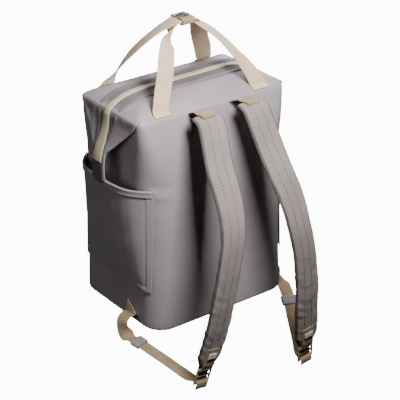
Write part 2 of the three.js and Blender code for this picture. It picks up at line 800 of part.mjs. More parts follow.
// All that hangs from one side's strap, on the +X side, as that side hangs.
function makeHarness(hang) {
  const drop = strapDrop + hang.longer;
  const points = strapRoute.map((row) => {
    const x = mix(strapTopSpread, strapBottomSpread, row.spread) / 2;
    const y = -(strapReach + row.bow * strapBow);
    return new THREE.Vector3(x, y, strapTopHeight - row.drop * drop);
  });
  const line = routeOf(points);
  const sides = allAlong(points, xAxis);
  const widths = strapRoute.map((row) => row.width);
  const onWebbing = seat + webbingThickness / 2;

  // A point off the strap's outer face, which looks up at its top and away from the bag below.
  const faceSpot = (t, lift) => {
    const frame = stripFrame(line, sides, t);
    return frame.centre.addScaledVector(frame.face, strapThickness / 2 + lift);
  };

  const strapOptions = { steps: strapSteps, widths, section: strapSection };
  const strap = strip(points, sides, strapWidth, strapThickness, strapOptions);

  // The webbing tab from the bag's panel over the strap's top.
  const panel = bagAt(anchorHeight).halfDepth;
  const start = new THREE.Vector3(anchorSpread / 2, -panel, anchorHeight);
  const over = faceSpot(0, onWebbing);
  const anchorPoints = [
    start,
    start.clone().lerp(over, 0.3).add(new THREE.Vector3(0, 0, 2)),
    start.clone().lerp(over, 0.65).add(new THREE.Vector3(0, 0, 3)),
    over,
  ];
  for (const t of anchorPlaces) anchorPoints.push(faceSpot(t, onWebbing));
  const anchorSides = allAlong(anchorPoints, xAxis);
  const anchorOptions = { steps: (anchorPoints.length - 1) * 3 };
  const anchor = seatedOnBag(
    strip(anchorPoints, anchorSides, harnessWidth, webbingThickness, anchorOptions),
  );

  // The adjuster's frame: its middle hangs below the strap's tip.
  const tip = stripFrame(line, sides, 1);
  const middle = tip.centre.clone().addScaledVector(tip.along, buckleDrop);
  const up = tip.along.clone().negate();
  const out = tip.face;
  const inBuckle = (height, away) =>
    middle.clone().addScaledVector(up, height).addScaledVector(out, away);
  const buckle = placed(makeBucklePlate(), tip.side, up, middle);

  // Points round a bar of the adjuster, from one side of it to the other.
  const roundBar = (bar, from, to) => {
    const turns = 6;
    const arc = [];
    for (let k = 0; k <= turns; k++) {
      const angle = mix(from, to, k / turns);
      arc.push(inBuckle(bar + barTurn * Math.cos(angle), barTurn * Math.sin(angle)));
    }
    return arc;
  };

  // The loop from the strap's face round the adjuster's top bar.
  const tabPoints = tabPlaces.map((t) => faceSpot(t, onWebbing));
  tabPoints.push(inBuckle(topBar + tabBend, barTurn + 0.6));
  tabPoints.push(...roundBar(topBar, Math.PI / 2, Math.PI * 1.5));
  tabPoints.push(inBuckle(topBar + tabBend, -barTurn));
  const tabSides = allAlong(tabPoints, tip.side);
  const tabOptions = { steps: (tabPoints.length - 1) * 2 };
  const tab = strip(tabPoints, tabSides, harnessWidth, webbingThickness, tabOptions);

  // The small pale tag folded over the loop.
  const tagFrame = stripFrame(line, sides, tagPlace);
  const tagLift = seat + webbingThickness + seat * 2 + fabricThickness / 2;
  const tag = placed(
    new THREE.BoxGeometry(endTagWidth, endTagHeight, fabricThickness),
    tagFrame.side,
    tagFrame.along.clone().negate(),
    faceSpot(tagPlace, tagLift),
  );

  // The free webbing: out from the folded triangle on the bag's side, round in a slack arc, up
  // behind the adjuster's lower bar, over that bar and down as a tail.
  const webbingStart = new THREE.Vector3(
    bagAt(webbingStartHeight).halfLength + webbingThickness + seat * 4,
    -webbingStartBack,
    webbingStartHeight,
  );
  const behind = inBuckle(-topBar - tabBend, -barTurn * 2);
  const webbingPoints = webbingRoute.map((row) => {
    const point = webbingStart.clone().lerp(behind, row.along);
    return point.add(new THREE.Vector3(row.out * webbingOut, 0, -row.sag * webbingSag));
  });
  webbingPoints.push(...roundBar(-topBar, -Math.PI * 0.3, Math.PI / 2));
  webbingPoints.push(inBuckle(-topBar - tailLength / 2, barTurn));
  webbingPoints.push(inBuckle(-topBar - tailLength, barTurn - 1));
  const webbingSides = webbingPoints.map((point, k) => {
    const turn = k < webbingRoute.length ? webbingRoute[k].turn : 1;
    return startSide.clone().lerp(tip.side, turn);
  });
  const webbingOptions = { steps: (webbingPoints.length - 1) * 3 };
  const webbing = seatedOnBag(
    strip(webbingPoints, webbingSides, harnessWidth, webbingThickness, webbingOptions),
  );

  const keeperAt = hang.keeperRow / (webbingPoints.length - 1);
  const hold = stripFrame(routeOf(webbingPoints), webbingSides, keeperAt);
  const innerHalf = harnessWidth / 2 + keeperRoom;
  const innerRise = webbingThickness / 2 + keeperRoom;
  const keeper = sleeve(innerHalf, innerRise, keeperWall, keeperLength);
  placed(keeper, hold.side, hold.face, hold.centre);

  return [
    { name: 'shoulder_strap', geometry: strap, look: strapGrey },
    { name: 'strap_anchor', geometry: anchor, look: webbingTan },
    { name: 'buckle_tab', geometry: tab, look: webbingTan },
    { name: 'end_tag', geometry: tag, look: tagWhite },
    { name: 'ladder_buckle', geometry: buckle, look: buckleTan },
    { name: 'lower_webbing', geometry: webbing, look: webbingTan },
    { name: 'keeper', geometry: keeper, look: keeperGrey },
  ];
}

// A piece on the +X side gives its twin on the -X side.
function mirrored(geometry) {
  const twin = geometry.index ? geometry.clone() : mergeVertices(geometry);
  const places = twin.getAttribute('position');
  for (let k = 0; k < places.count; k++) places.setX(k, -places.getX(k));
  const index = Array.from(twin.getIndex().array);
  for (let k = 0; k < index.length; k += 3) {
    [index[k + 1], index[k + 2]] = [index[k + 2], index[k + 1]];
  }
  twin.setIndex(index);
  twin.computeVertexNormals();
  return twin;
}

const cooler = new THREE.Group();

function addMesh(name, geometry, look) {
  const mesh = new THREE.Mesh(geometry, new THREE.MeshStandardMaterial(look));
  mesh.name = name;
  cooler.add(mesh);
}

// Adds a piece on both sides: the right one faces +X.
function addPair(name, geometry, look) {
  addMesh(`${name}_right`, geometry, look);
  addMesh(`${name}_left`, mirrored(geometry), look);
}

addMesh('body', makeBody(), bagGrey);
addPair('wing', makeWing(), bagGrey);
addPair('wing_patch', makeWingPatch(), patchGrey);
addMesh('zip_tape', makeZipTape(), tapeGrey);
addMesh('zip_band', makeZipBand(), zipCream);
addMesh('zip_slider', makeZipSlider(), patchGrey);
addPair('pocket', makePocket(), bagGrey);
addPair('pocket_hem', makePocketHem(), bagGrey);
addMesh('handle_back', makeHandle('back', -1, -handleStack / 2), webbingCream);
addMesh('handle_front', makeHandle('front', 1, handleStack / 2), webbingCream);
addMesh('handle_wrap', makeHandleWrap(), webbingTan);
addMesh('handle_snap', makeHandleSnap(), keeperGrey);
addPair('webbing_anchor', makeWebbingAnchor(), webbingTan);

for (const piece of makeHarness(hangs.right)) {
  addMesh(`${piece.name}_right`, piece.geometry, piece.look);
}
for (const piece of makeHarness(hangs.left)) {
  addMesh(`${piece.name}_left`, mirrored(piece.geometry), piece.look);
}

cooler.position.z = -wrapUnderside;

export default cooler;
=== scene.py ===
"""Cooler backpack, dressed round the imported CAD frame."""
import math

import bmesh
import bpy
import numpy as np
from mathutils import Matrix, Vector, noise


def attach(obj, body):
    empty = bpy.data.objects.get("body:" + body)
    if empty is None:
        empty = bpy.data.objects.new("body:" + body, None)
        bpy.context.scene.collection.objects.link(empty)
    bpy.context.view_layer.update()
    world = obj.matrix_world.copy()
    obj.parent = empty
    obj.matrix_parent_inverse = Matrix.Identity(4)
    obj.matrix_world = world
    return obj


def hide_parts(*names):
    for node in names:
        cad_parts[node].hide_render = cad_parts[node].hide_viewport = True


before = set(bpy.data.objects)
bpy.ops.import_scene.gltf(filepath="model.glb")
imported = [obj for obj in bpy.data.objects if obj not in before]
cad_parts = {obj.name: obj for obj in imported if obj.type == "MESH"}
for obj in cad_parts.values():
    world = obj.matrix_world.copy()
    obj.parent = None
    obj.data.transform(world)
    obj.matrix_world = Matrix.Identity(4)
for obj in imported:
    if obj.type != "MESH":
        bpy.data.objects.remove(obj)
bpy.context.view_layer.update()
scene = bpy.context.scene

# Camera: the photograph's own viewing angle, 400 x 400, in the row frame in metres
AZIMUTH = math.radians(-37.02)
ELEVATION = math.radians(26.63)
DISTANCE = 2.697
LENS = 134.7
SENSOR = 36.0
TARGET = Vector((0.0363, 0.0, -0.34686))

backward = Vector((
    math.sin(AZIMUTH) * math.cos(ELEVATION),
    -math.cos(AZIMUTH) * math.cos(ELEVATION),
    math.sin(ELEVATION),
))
camera_data = bpy.data.cameras.new("camera")
camera_data.lens = LENS
camera_data.sensor_width = SENSOR
camera_data.clip_end = 50
camera = bpy.data.objects.new("camera", camera_data)
camera.location = TARGET + backward * DISTANCE
camera.rotation_euler = backward.to_track_quat("Z", "Y").to_euler()
scene.collection.objects.link(camera)
scene.camera = camera

# Sizes in millimetres, with z = 0 at the base as in the part's source. A share is of 1.
GRIP = 507.762
BASE_LENGTH, BASE_DEPTH = 296, 238
TOP_LENGTH, TOP_DEPTH = 308, 175
SHOULDER = 387
CROWN_RISE, CROWN_POWER = 20, 3.4
CORNER, BASE_ROUND, SLOPE_ROUND = 28, 6, 14
SEAT = 0.3
WEBBING = 2
FABRIC = 2
RIM_SHARE = 0.3
THIN_END = 1.5
PATCH_THICK = 1.6
WING_THICK, WING_DROP, WING_NECK, TAB_WIDTH = 2.5, 125, 70, 34
TAPE_WIDTH, TAPE_END, TAPE_THICK = 62, 27, 1.2
BAND_WIDTH, BAND_END, BAND_THICK, BAND_STOP, BAND_WIDENS = 12.5, 24, 1.6, 87, 0.38
POCKET_LOW, POCKET_TOP, POCKET_WIDTH, POCKET_BULGE, HEM = 76, 267, 196, 22, 11
HANDLE_WIDTH, HANDLE_SPAN, HANDLE_RISE, HANDLE_FOOT, HANDLE_STACK = 31, 207, 120, 10, 4
WRAP_LENGTH, WRAP_WALL, WRAP_ROOM = 26, 2, 1
STRAP_WIDTH, STRAP_THICK, STRAP_TOP, STRAP_DROP = 55, 9, 388, 428
STRAP_REACH, STRAP_BOW, STRAP_SPREAD_TOP, STRAP_SPREAD_LOW = 118, 126, 94, 228
HARNESS, ANCHOR_HEIGHT, ANCHOR_SPREAD = 25, 384, 85
BUCKLE_WIDTH, BUCKLE_HEIGHT, BUCKLE_THICK, BUCKLE_BAR, BUCKLE_DROP = 34, 34, 4, 4, 25
RAIL = 3.8
TAG_WIDTH, TAG_HEIGHT, TAIL = 17, 12, 11
START_HEIGHT, START_BACK, SWING, SAG = 16, 47, 28, 16
KEEPER_LENGTH, KEEPER_WALL, KEEPER_ROOM = 18, 1.8, 1.28
SLIDER_LENGTH, SLIDER_WIDTH, SLIDER_HEIGHT = 16, 9, 4
# By side: how much longer its strap is, and where on the free webbing's route its keeper sits
LONGER = {1: 20, -1: -20}
KEEPER_ROW = {1: 6.6, -1: 5.6}
SIDE_NAME = {1: "right", -1: "left"}

# rise, flare, lean, round and inset of the bag's sections, as in the part's source
BAG = np.array([
    (0.0, 0.0, 0.0, 1.0, 1.0),
    (0.004, 0.0, 0.0, 1.0, 0.35),
    (0.016, 0.0, 0.0, 1.0, 0.0),
    (0.2, 0.0, 0.1, 1.05, 0.0),
    (0.4, 0.08, 0.22, 1.1, 0.0),
    (0.58, 0.2, 0.34, 1.1, 0.0),
    (0.74, 0.35, 0.47, 1.0, 0.0),
    (0.86, 0.55, 0.62, 0.8, 0.0),
    (0.95, 0.85, 0.84, 0.55, 0.0),
    (1.0, 1.0, 1.0, 0.35, 0.0),
])
# drop and reach of the wing's outline
WING = np.array([
    (0.02, 0.0), (0.15, 0.03), (0.28, 0.2), (0.42, 0.47), (0.5, 0.68),
    (0.58, 0.86), (0.65, 0.95), (0.72, 1.0), (0.94, 1.0), (1.0, 1.0),
])
# side and bulge of the pocket's profile
POCKET = np.array([
    (0.0, 1.0), (0.25, 1.0), (0.53, 0.84), (0.68, 0.6), (0.78, 0.38), (0.87, 0.18),
    (0.94, 0.06), (1.0, 0.0),
])
# across, out and up of a handle's leg, as shares of its span, foot and rise
LEG = np.array([
    (0.95, 0.93, 0.1), (0.87, 0.83, 0.24), (0.72, 0.66, 0.46), (0.58, 0.45, 0.65),
    (0.455, 0.28, 0.79), (0.31, 0.16, 0.895), (0.18, 0.02, 0.98), (0.1, 0.0, 1.0),
    (0.0, 0.0, 1.0),
])
# how far each leg has turned, from 0, width along the bag, to 1, width across it
TURNS = {
    "back": {
        1: (0, 0.2, 0.4, 0.48, 0.52, 0.57, 0.72, 1, 1),
        -1: (0, 0, 0.02, 0.12, 0.28, 0.55, 0.9, 1, 1),
    },
    "front": {
        1: (0.1, 0.3, 0.45, 0.55, 0.75, 0.95, 1, 1, 1),
        -1: (0.3, 0.5, 0.62, 0.66, 0.66, 0.68, 0.86, 1, 1),
    },
}
# spread, bow, drop and width of a shoulder strap's route
STRAP = np.array([
    (0.0, 0.0, 0.002, 0.92), (0.0, 0.1, 0.0, 1.0), (0.005, 0.17, 0.008, 1.0),
    (0.02, 0.225, 0.03, 1.0), (0.075, 0.325, 0.087, 1.0), (0.134, 0.444, 0.157, 1.0),
    (0.18, 0.6, 0.227, 0.99), (0.245, 0.755, 0.298, 0.96), (0.3, 0.86, 0.367, 0.92),
    (0.37, 0.915, 0.437, 0.89), (0.5, 0.94, 0.53, 0.89), (0.604, 0.935, 0.625, 0.91),
    (0.69, 0.917, 0.718, 0.93), (0.76, 0.88, 0.81, 0.94), (0.85, 0.835, 0.895, 0.94),
    (0.92, 0.794, 0.955, 0.92), (0.965, 0.765, 1.0, 0.64),
])
# along, out, sag and turn of the free webbing's route
FREE = np.array([
    (0.0, 0.0, 0.0, 0.0), (0.01, 0.4, -0.05, 0.0), (0.035, 0.82, 0.2, 0.08),
    (0.08, 1.0, 0.8, 0.25), (0.17, 1.0, 1.0, 0.6), (0.25, 0.95, 0.7, 0.85),
    (0.35, 0.88, 0.45, 1.0), (0.47, 0.76, 0.3, 1.0), (0.62, 0.54, 0.2, 1.0),
    (0.8, 0.3, 0.1, 1.0), (0.94, 0.08, 0.0, 1.0),
])
# along, width and height of the zip slider's body, as shares
SLIDER_BODY = np.array([
    (-0.5, 0.6, 0.6), (-0.47, 0.72, 0.78), (-0.25, 0.8, 0.86), (0.0, 0.9, 0.88),
    (0.25, 1.0, 0.86), (0.44, 0.95, 0.78), (0.5, 0.8, 0.6),
])
X = np.array((1.0, 0.0, 0.0))
Y = np.array((0.0, 1.0, 0.0))
Z = np.array((0.0, 0.0, 1.0))


def mix(a, b, t):
    """The value a share t of the way from a to b."""
    return a + (b - a) * t


def unit(v):
    return v / np.maximum(np.linalg.norm(v, axis=-1, keepdims=True), 1e-9)


def step(low, high, x):
    """A smooth rise from 0 at low to 1 at high."""
    t = np.clip((np.asarray(x, float) - low) / (high - low), 0, 1)
    return t * t * (3 - 2 * t)


def softly(table, column, at, soft):
    """A column of a table at a place, averaged over small offsets."""
    return np.mean([np.interp(at + s, table[:, 0], table[:, column]) for s in soft], axis=0)


def distances(points):
    """Distance to each point of a row, along the row."""
    gaps = np.linalg.norm(np.diff(points, axis=0), axis=1)
    return np.concatenate([[0], np.cumsum(gaps)])


def laid(place, section, side, face):
    """A flat section's points at a place, laid along two directions."""
    return place + section[:, :1] * side + section[:, 1:2] * face


def ripple(point, scale, seed=0.0):
    """Smooth noise from -1 to 1 at a point, with features about scale across."""
    return noise.noise(Vector((point[0] / scale + seed, point[1] / scale, point[2] / scale)))


# Materials


def node(tree, kind, **inputs):
    """A new node with values on its inputs, their spaces written as underscores."""
    made = tree.nodes.new(kind)
    for name, value in inputs.items():
        made.inputs[name.replace("_", " ")].default_value = value
    return made


def srgb(red, green, blue):
    """A colour given in parts of 255, as the shader takes it."""
    def linear(value):
        value /= 255
        return value / 12.92 if value <= 0.04045 else ((value + 0.055) / 1.055) ** 2.4
    return (linear(red), linear(green), linear(blue), 1.0)


def math_node(tree, operation, first, second=None):
    made = tree.nodes.new("ShaderNodeMath")
    made.operation = operation
    for slot, value in enumerate((first, second)):
        if value is None:
            continue
        if isinstance(value, (int, float)):
            made.inputs[slot].default_value = value
        else:
            tree.links.new(value, made.inputs[slot])
    return made.outputs[0]


def material(name, dark, light, rough, patch=0.05, pattern=None, depth=0.0, grain=0.0,
             grain_scale=900, shade=0.0, sheen=0.0, coat=0.0):
    """A fabric or plastic: two tones of 255 in soft patches, a pattern that dents it and, by
    shade, darkens its colour in its hollows as painted shade, a fine grain, and roughness that
    wanders. pattern(tree, strip) gives a height from 0 to 1."""
    made = bpy.data.materials.new(name)
    made.use_nodes = True
    tree = made.node_tree
    link = tree.links.new
    shader = tree.nodes["Principled BSDF"]
    values = {"Sheen Weight": sheen, "Sheen Roughness": 0.5,
              "Coat Weight": coat, "Coat Roughness": 0.35}
    for entry, value in values.items():
        shader.inputs[entry].default_value = value
    place = tree.nodes.new("ShaderNodeTexCoord").outputs["Object"]

    patches = node(tree, "ShaderNodeTexNoise", Scale=1 / patch, Detail=3.0, Roughness=0.55)
    link(place, patches.inputs["Vector"])
    spread = tree.nodes.new("ShaderNodeValToRGB")
    for stop, position, tone in zip(spread.color_ramp.elements, (0.3, 0.7), (dark, light)):
        stop.position = position
        stop.color = srgb(*tone)
    link(patches.outputs["Fac"], spread.inputs["Fac"])
    colour = spread.outputs["Color"]

    fine = node(tree, "ShaderNodeTexNoise", Scale=float(grain_scale), Detail=2.0, Roughness=0.6)
    link(place, fine.inputs["Vector"])
    height = math_node(tree, "MULTIPLY", fine.outputs["Fac"], grain)
    if pattern:
        attribute = tree.nodes.new("ShaderNodeAttribute")
        attribute.attribute_name = "strip"
        woven = pattern(tree, attribute.outputs["Vector"])
        height = math_node(tree, "ADD", height, math_node(tree, "MULTIPLY", woven, depth))
        # Painted shade: the colour is darkened where the pattern is low, in the hollows of the
        # weave, ribs and twill.
        if shade:
            darker = tree.nodes.new("ShaderNodeMix")
            darker.data_type = "RGBA"
            darker.blend_type = "MULTIPLY"
            tone = node(tree, "ShaderNodeMapRange", To_Min=1 - shade, To_Max=1.0)
            link(woven, tone.inputs["Value"])
            darker.inputs["Factor"].default_value = 1.0
            link(colour, darker.inputs["A"])
            link(tone.outputs["Result"], darker.inputs["B"])
            colour = darker.outputs["Result"]
    link(colour, shader.inputs["Base Color"])

    wander = node(tree, "ShaderNodeMapRange", To_Min=rough - 0.06, To_Max=rough + 0.06)
    link(patches.outputs["Fac"], wander.inputs["Value"])
    link(wander.outputs["Result"], shader.inputs["Roughness"])

    bump = node(tree, "ShaderNodeBump", Strength=1.0, Distance=0.001)
    link(height, bump.inputs["Height"])
    link(bump.outputs["Normal"], shader.inputs["Normal"])
    return made


def wave(tree, value, pitch):
    """A sine wave from 0 to 1 along a value, in metres."""
    turned = math_node(tree, "MULTIPLY", value, 2 * math.pi / pitch)
    half = math_node(tree, "MULTIPLY", math_node(tree, "SINE", turned), 0.5)
    return math_node(tree, "ADD", half, 0.5)


def parts_of(tree, vector):
    """The places across and along a strip."""
    split = tree.nodes.new("ShaderNodeSeparateXYZ")
    tree.links.new(vector, split.inputs["Vector"])
    return split.outputs["X"], split.outputs["Y"]


def woven_webbing(tree, vector):
    """Lengthwise cords crossed by fine picks."""
    across, along = parts_of(tree, vector)
    cords = wave(tree, across, 0.0019)
    slant = math_node(tree, "ADD", along, math_node(tree, "MULTIPLY", across, 0.5))
    picks = wave(tree, slant, 0.0014)
    return math_node(tree, "MULTIPLY", cords, math_node(tree, "MAXIMUM", picks, 0.35))


def twill(tree, vector):
    """Fine diagonal ribs broken by the cross threads."""
    across, along = parts_of(tree, vector)
    slant = math_node(tree, "ADD", along, across)
    other = math_node(tree, "SUBTRACT", along, across)
    return math_node(tree, "MULTIPLY", wave(tree, slant, 0.0042), wave(tree, other, 0.0030))


def ribs_across(pitch):
    """Fine ribs across a strip, a pitch apart in metres."""
    def pattern(tree, vector):
        return wave(tree, parts_of(tree, vector)[1], pitch)
    return pattern


# Where a material has shade, its pattern's hollows are darkened in its colour: painted shade.
COATED = material("coated_fabric", (146, 138, 142), (157, 149, 153), 0.5, patch=0.12,
                  grain=0.12, grain_scale=1600, sheen=0.05)
PATCH = material("dark_patch", (92, 85, 82), (106, 98, 94), 0.45, patch=0.02,
                 grain=0.15, grain_scale=1200)
TAPE = material("zip_tape", (126, 118, 122), (140, 132, 136), 0.62, patch=0.03,
                pattern=ribs_across(0.0026), depth=0.35, shade=0.4, grain=0.1)
COIL = material("zip_cover", (186, 173, 146), (200, 187, 160), 0.5, patch=0.02,
                grain=0.15, grain_scale=700)
CREAM = material("cream_webbing", (212, 184, 150), (230, 203, 170), 0.85, patch=0.02,
                 pattern=woven_webbing, depth=0.35, shade=0.14, grain=0.2, sheen=0.15)
TAN = material("tan_webbing", (158, 134, 100), (180, 156, 120), 0.85, patch=0.02,
               pattern=woven_webbing, depth=0.35, shade=0.3, grain=0.2, sheen=0.15)
TWILL = material("strap_twill", (160, 146, 141), (178, 164, 158), 0.8, patch=0.05,
                 pattern=twill, depth=0.6, shade=0.5, grain=0.25, sheen=0.2)
# The piping's own darker tone, darkened further as painted shade: the dark line along the strap's
# edge.
SHADED_PIPING = material("strap_piping_painted_shade", (70, 64, 63), (88, 81, 79), 0.8, patch=0.02,
                  pattern=ribs_across(0.0032), depth=0.2, shade=0.2, grain=0.2)
THREAD = material("dark_thread", (58, 52, 51), (76, 69, 67), 0.8, patch=0.01,
                  pattern=ribs_across(0.0032), depth=0.1, shade=0.2, grain=0.2)
TAG = material("pale_tag", (222, 216, 208), (238, 232, 224), 0.8, patch=0.01,
               pattern=woven_webbing, depth=0.15, shade=0.08, grain=0.2)
KHAKI = material("buckle_plastic", (150, 130, 98), (172, 152, 118), 0.32, patch=0.01,
                 grain=0.1, grain_scale=1500)
KEEPER = material("keeper_plastic", (128, 120, 120), (146, 138, 137), 0.42, patch=0.01,
                  grain=0.1, grain_scale=1500)
CAP = material("snap_cap", (62, 55, 46), (84, 75, 62), 0.3, patch=0.01,
               grain=0.06, grain_scale=2500, coat=0.3)
SLIDER = material("slider_plastic", (84, 78, 80), (100, 94, 96), 0.4, patch=0.01,
                  grain=0.1)
STUDIO = material("studio_floor", (246, 246, 246), (250, 250, 250), 0.9, patch=0.8)
STUDIO.node_tree.nodes["Principled BSDF"].inputs["Emission Color"].default_value = (1, 1, 1, 1)
STUDIO.node_tree.nodes["Principled BSDF"].inputs["Emission Strength"].default_value = 12

# Meshes


def grid_faces(rows, columns, wrap=False, start=0):
    faces = []
    for r in range(rows - 1):
        low = start + r * columns
        for c in range(columns if wrap else columns - 1):
            d = (c + 1) % columns
            faces.append((low + c, low + d, low + columns + d, low + columns + c))
    return faces


def cap(start, count):
    """A flat face over a ring of points."""
    return tuple(start + k for k in range(count))


def piece(name, points, faces, look, replaces=(), strip=None, sharp=50, looks=None,
          face_looks=None):
    """One closed piece, from points in the source's millimetres. strip gives each point's
    place across and along its strip, in millimetres, for the weave."""
    mesh = bpy.data.meshes.new(name)
    places = (np.asarray(points, float) - (0, 0, GRIP)) / 1000
    mesh.from_pydata(places.tolist(), [], faces)
    if strip is not None:
        values = np.zeros((len(places), 3))
        values[:, :2] = np.asarray(strip)[:, :2] / 1000
        layer = mesh.attributes.new("strip", "FLOAT_VECTOR", "POINT")
        layer.data.foreach_set("vector", values.ravel())
    for one in looks or (look,):
        mesh.materials.append(one)
    if face_looks is not None:
        mesh.polygons.foreach_set("material_index", face_looks)
    shape = bmesh.new()
    shape.from_mesh(mesh)
    bmesh.ops.recalc_face_normals(shape, faces=shape.faces)
    shape.to_mesh(mesh)
    shape.free()
    mesh.polygons.foreach_set("use_smooth", [True] * len(mesh.polygons))
    mesh.set_sharp_from_angle(angle=math.radians(sharp))
    mesh.update()
    made = bpy.data.objects.new(name, mesh)
    scene.collection.objects.link(made)
    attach(made, "root")
    if replaces:
        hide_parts(*replaces)
    return made


def tube(rings, closed_loop=False):
    """Points and faces of equal rings in a row, with flat ends."""
    rows, columns = rings.shape[:2]
    faces = grid_faces(rows, columns, wrap=True)
    if closed_loop:
        last = (rows - 1) * columns
        for c in range(columns):
            d = (c + 1) % columns
            faces.append((last + c, last + d, d, c))
    else:
        faces.append(tuple(range(columns - 1, -1, -1)))
        faces.append(cap((rows - 1) * columns, columns))
    return rings.reshape(-1, 3), faces


def rounded(half_wide, half_high, radius, corners):
    """A rounded rectangle's section, with the same number of points at any size."""
    section = []
    for cs, cf, first in ((1, 1, 0), (-1, 1, 90), (-1, -1, 180), (1, -1, 270)):
        for k in range(corners + 1):
            angle = math.radians(first + 90 * k / corners)
            section.append((cs * (half_wide - radius) + radius * math.cos(angle),
                            cf * (half_high - radius) + radius * math.sin(angle)))
    return section


def lofted(name, rings, look, slot_name, replaces=(), marks=None, closed_loop=False, sharp=50):
    """A piece from equal rings in a row."""
    points, faces = tube(np.array(rings), closed_loop)
    return piece(name, points, faces, look, replaces, marks, sharp=sharp)


class Route:
    """The source's centripetal Catmull-Rom curve through points."""

    def __init__(self, points):
        points = np.asarray(points, float)
        first = 2 * points[0] - points[1]
        last = 2 * points[-1] - points[-2]
        self.points = np.vstack([first, points, last])
        self.count = len(points)

    def at(self, t):
        """Place and unit way at t, from 0 to 1."""
        reach = min(max(t, 0), 1) * (self.count - 1)
        low = min(int(reach), self.count - 2)
        w = reach - low
        a, b, c, d = self.points[low:low + 4]
        gaps = [max(np.linalg.norm(q - p), 1e-6) ** 0.5 for p, q in ((a, b), (b, c), (c, d))]
        t1 = (b - a) / gaps[0] - (c - a) / (gaps[0] + gaps[1]) + (c - b) / gaps[1]
        t2 = (c - b) / gaps[1] - (d - b) / (gaps[1] + gaps[2]) + (d - c) / gaps[2]
        t1 = t1 * gaps[1]
        t2 = t2 * gaps[1]
        cube = 2 * b - 2 * c + t1 + t2
        square = -3 * b + 3 * c - 2 * t1 - t2
        place = b + t1 * w + square * w ** 2 + cube * w ** 3
        way = t1 + 2 * square * w + 3 * cube * w ** 2
        return place, unit(way)


class Strip:
    """Frames along a route: places, ways, sides and faces at even steps, with the distance.
    sides is one direction for all points, or one for each."""

    def __init__(self, points, sides, steps):
        self.route = Route(points)
        self.sides = np.broadcast_to(sides, (len(points), 3))
        self.t = np.linspace(0, 1, steps + 1)
        found = [self.frame(t) for t in self.t]
        self.place, self.way, self.side, self.face, self.row = map(np.array, zip(*found))
        self.length = distances(self.place)

    def frame(self, t):
        place, way = self.route.at(t)
        row = t * (len(self.sides) - 1)
        low = min(int(row), len(self.sides) - 2)
        side = mix(self.sides[low], self.sides[low + 1], row - low)
        side = unit(side - way * side.dot(way))
        return place, way, side, np.cross(way, side), row

    def spot(self, t, across, lift):
        place, way, side, face, row = self.frame(t)
        return place + side * across + face * lift

    def rings(self, outline):
        """outline(k) gives the section at step k as (side, face) millimetres."""
        made = []
        marks = []
        for k in range(len(self.t)):
            section = np.asarray(outline(k))
            made.append(laid(self.place[k], section, self.side[k], self.face[k]))
            marks.append(np.column_stack([section[:, 0], np.full(len(section), self.length[k])]))
        return np.array(made), np.concatenate(marks)


def flat_outline(width, thick, across=10, corner=0.7):
    """A flat strip's section with rounded edges."""
    half = width / 2
    rise = thick / 2
    corner = min(corner, rise)
    sides = np.linspace(-(half - corner), half - corner, across + 1)
    top = [(s, rise) for s in sides]
    low = [(s, -rise) for s in sides[::-1]]
    turn = math.radians(45)
    bend_side = half - corner + corner * math.sin(turn)
    bend_rise = rise - corner + corner * math.cos(turn)
    right = [(bend_side, bend_rise), (half, rise - corner), (half, corner - rise),
             (bend_side, -bend_rise)]
    left = [(-s, -f) for s, f in right]
    return np.array(top + right + low + left)


def webbing(name, strip, width, thick, look, slot_name, replaces=(), wave_size=0.0, seed=0.0,
            folded=0.0):
    """Flat webbing along a strip, its ends thinned a little and its run gently uneven. folded
    is the length at its far end that is turned over on itself."""
    total = strip.length[-1]

    def outline(k):
        section = flat_outline(width, thick)
        far = min(strip.length[k], total - strip.length[k])
        section[:, 1] *= mix(0.8, 1.0, min(far / THIN_END, 1))
        left = total - strip.length[k]
        if left < folded:
            section[section[:, 1] > 0, 1] += thick * 0.9 * min(left / 1.2 + 0.4, 1)
        if wave_size:
            for spot in section:
                where = (strip.length[k], spot[0], 0)
                spot[1] += wave_size * ripple(where, 30, seed) * min(far / 12, 1)
        return section

    rings, marks = strip.rings(outline)
    return lofted(name, rings, look, slot_name, replaces, marks)


def stitches(name, spots, ways, faces_out, look, long, wide, high):
    """Short rounded threads, each along its own way, half sunk in what carries them."""
    points = []
    faces = []
    marks = []
    shares = ((-1.0, 0.25), (-0.6, 0.9), (0.6, 0.9), (1.0, 0.25))
    around = 6
    for spot, way, out in zip(spots, ways, faces_out):
        across = unit(np.cross(way, out))
        first = len(points)
        for far, thick in shares:
            centre = spot + way * far * long / 2
            for k in range(around):
                angle = k * math.pi / 3
                points.append(centre + across * math.cos(angle) * wide / 2 * thick
                              + out * math.sin(angle) * high * thick)
                marks.append((0, far))
        faces += grid_faces(len(shares), around, wrap=True, start=first)
        faces += [cap(first, around), cap(len(points) - around, around)]
    return piece(name, points, faces, look, strip=marks)


# The bag's form


def bag_at(height):
    """Half length, half depth and corner radius of the bag at a height, softly between rows."""
    rise = np.asarray(height, float) / SHOULDER
    soft = np.linspace(-0.035, 0.035, 7)
    flare, lean, corner = (softly(BAG, k, rise, soft) for k in (1, 2, 3))
    inset = np.interp(rise, BAG[:, 0], BAG[:, 4]) * BASE_ROUND
    half_length = mix(BASE_LENGTH, TOP_LENGTH, flare) / 2 - inset
    half_depth = mix(BASE_DEPTH, TOP_DEPTH, lean) / 2 - inset
    fuller = 1 + 0.4 * (1 - step(0.75, 0.97, rise))
    return half_length, half_depth, np.maximum(corner * CORNER * fuller - inset, 1)


def crown_lift(inset):
    """Height of the crown above the shoulder, at a distance in from its edge."""
    share = np.clip(np.asarray(inset, float) / (TOP_DEPTH / 2), 0, 1)
    return CROWN_RISE * (1 - (1 - share) ** CROWN_POWER)


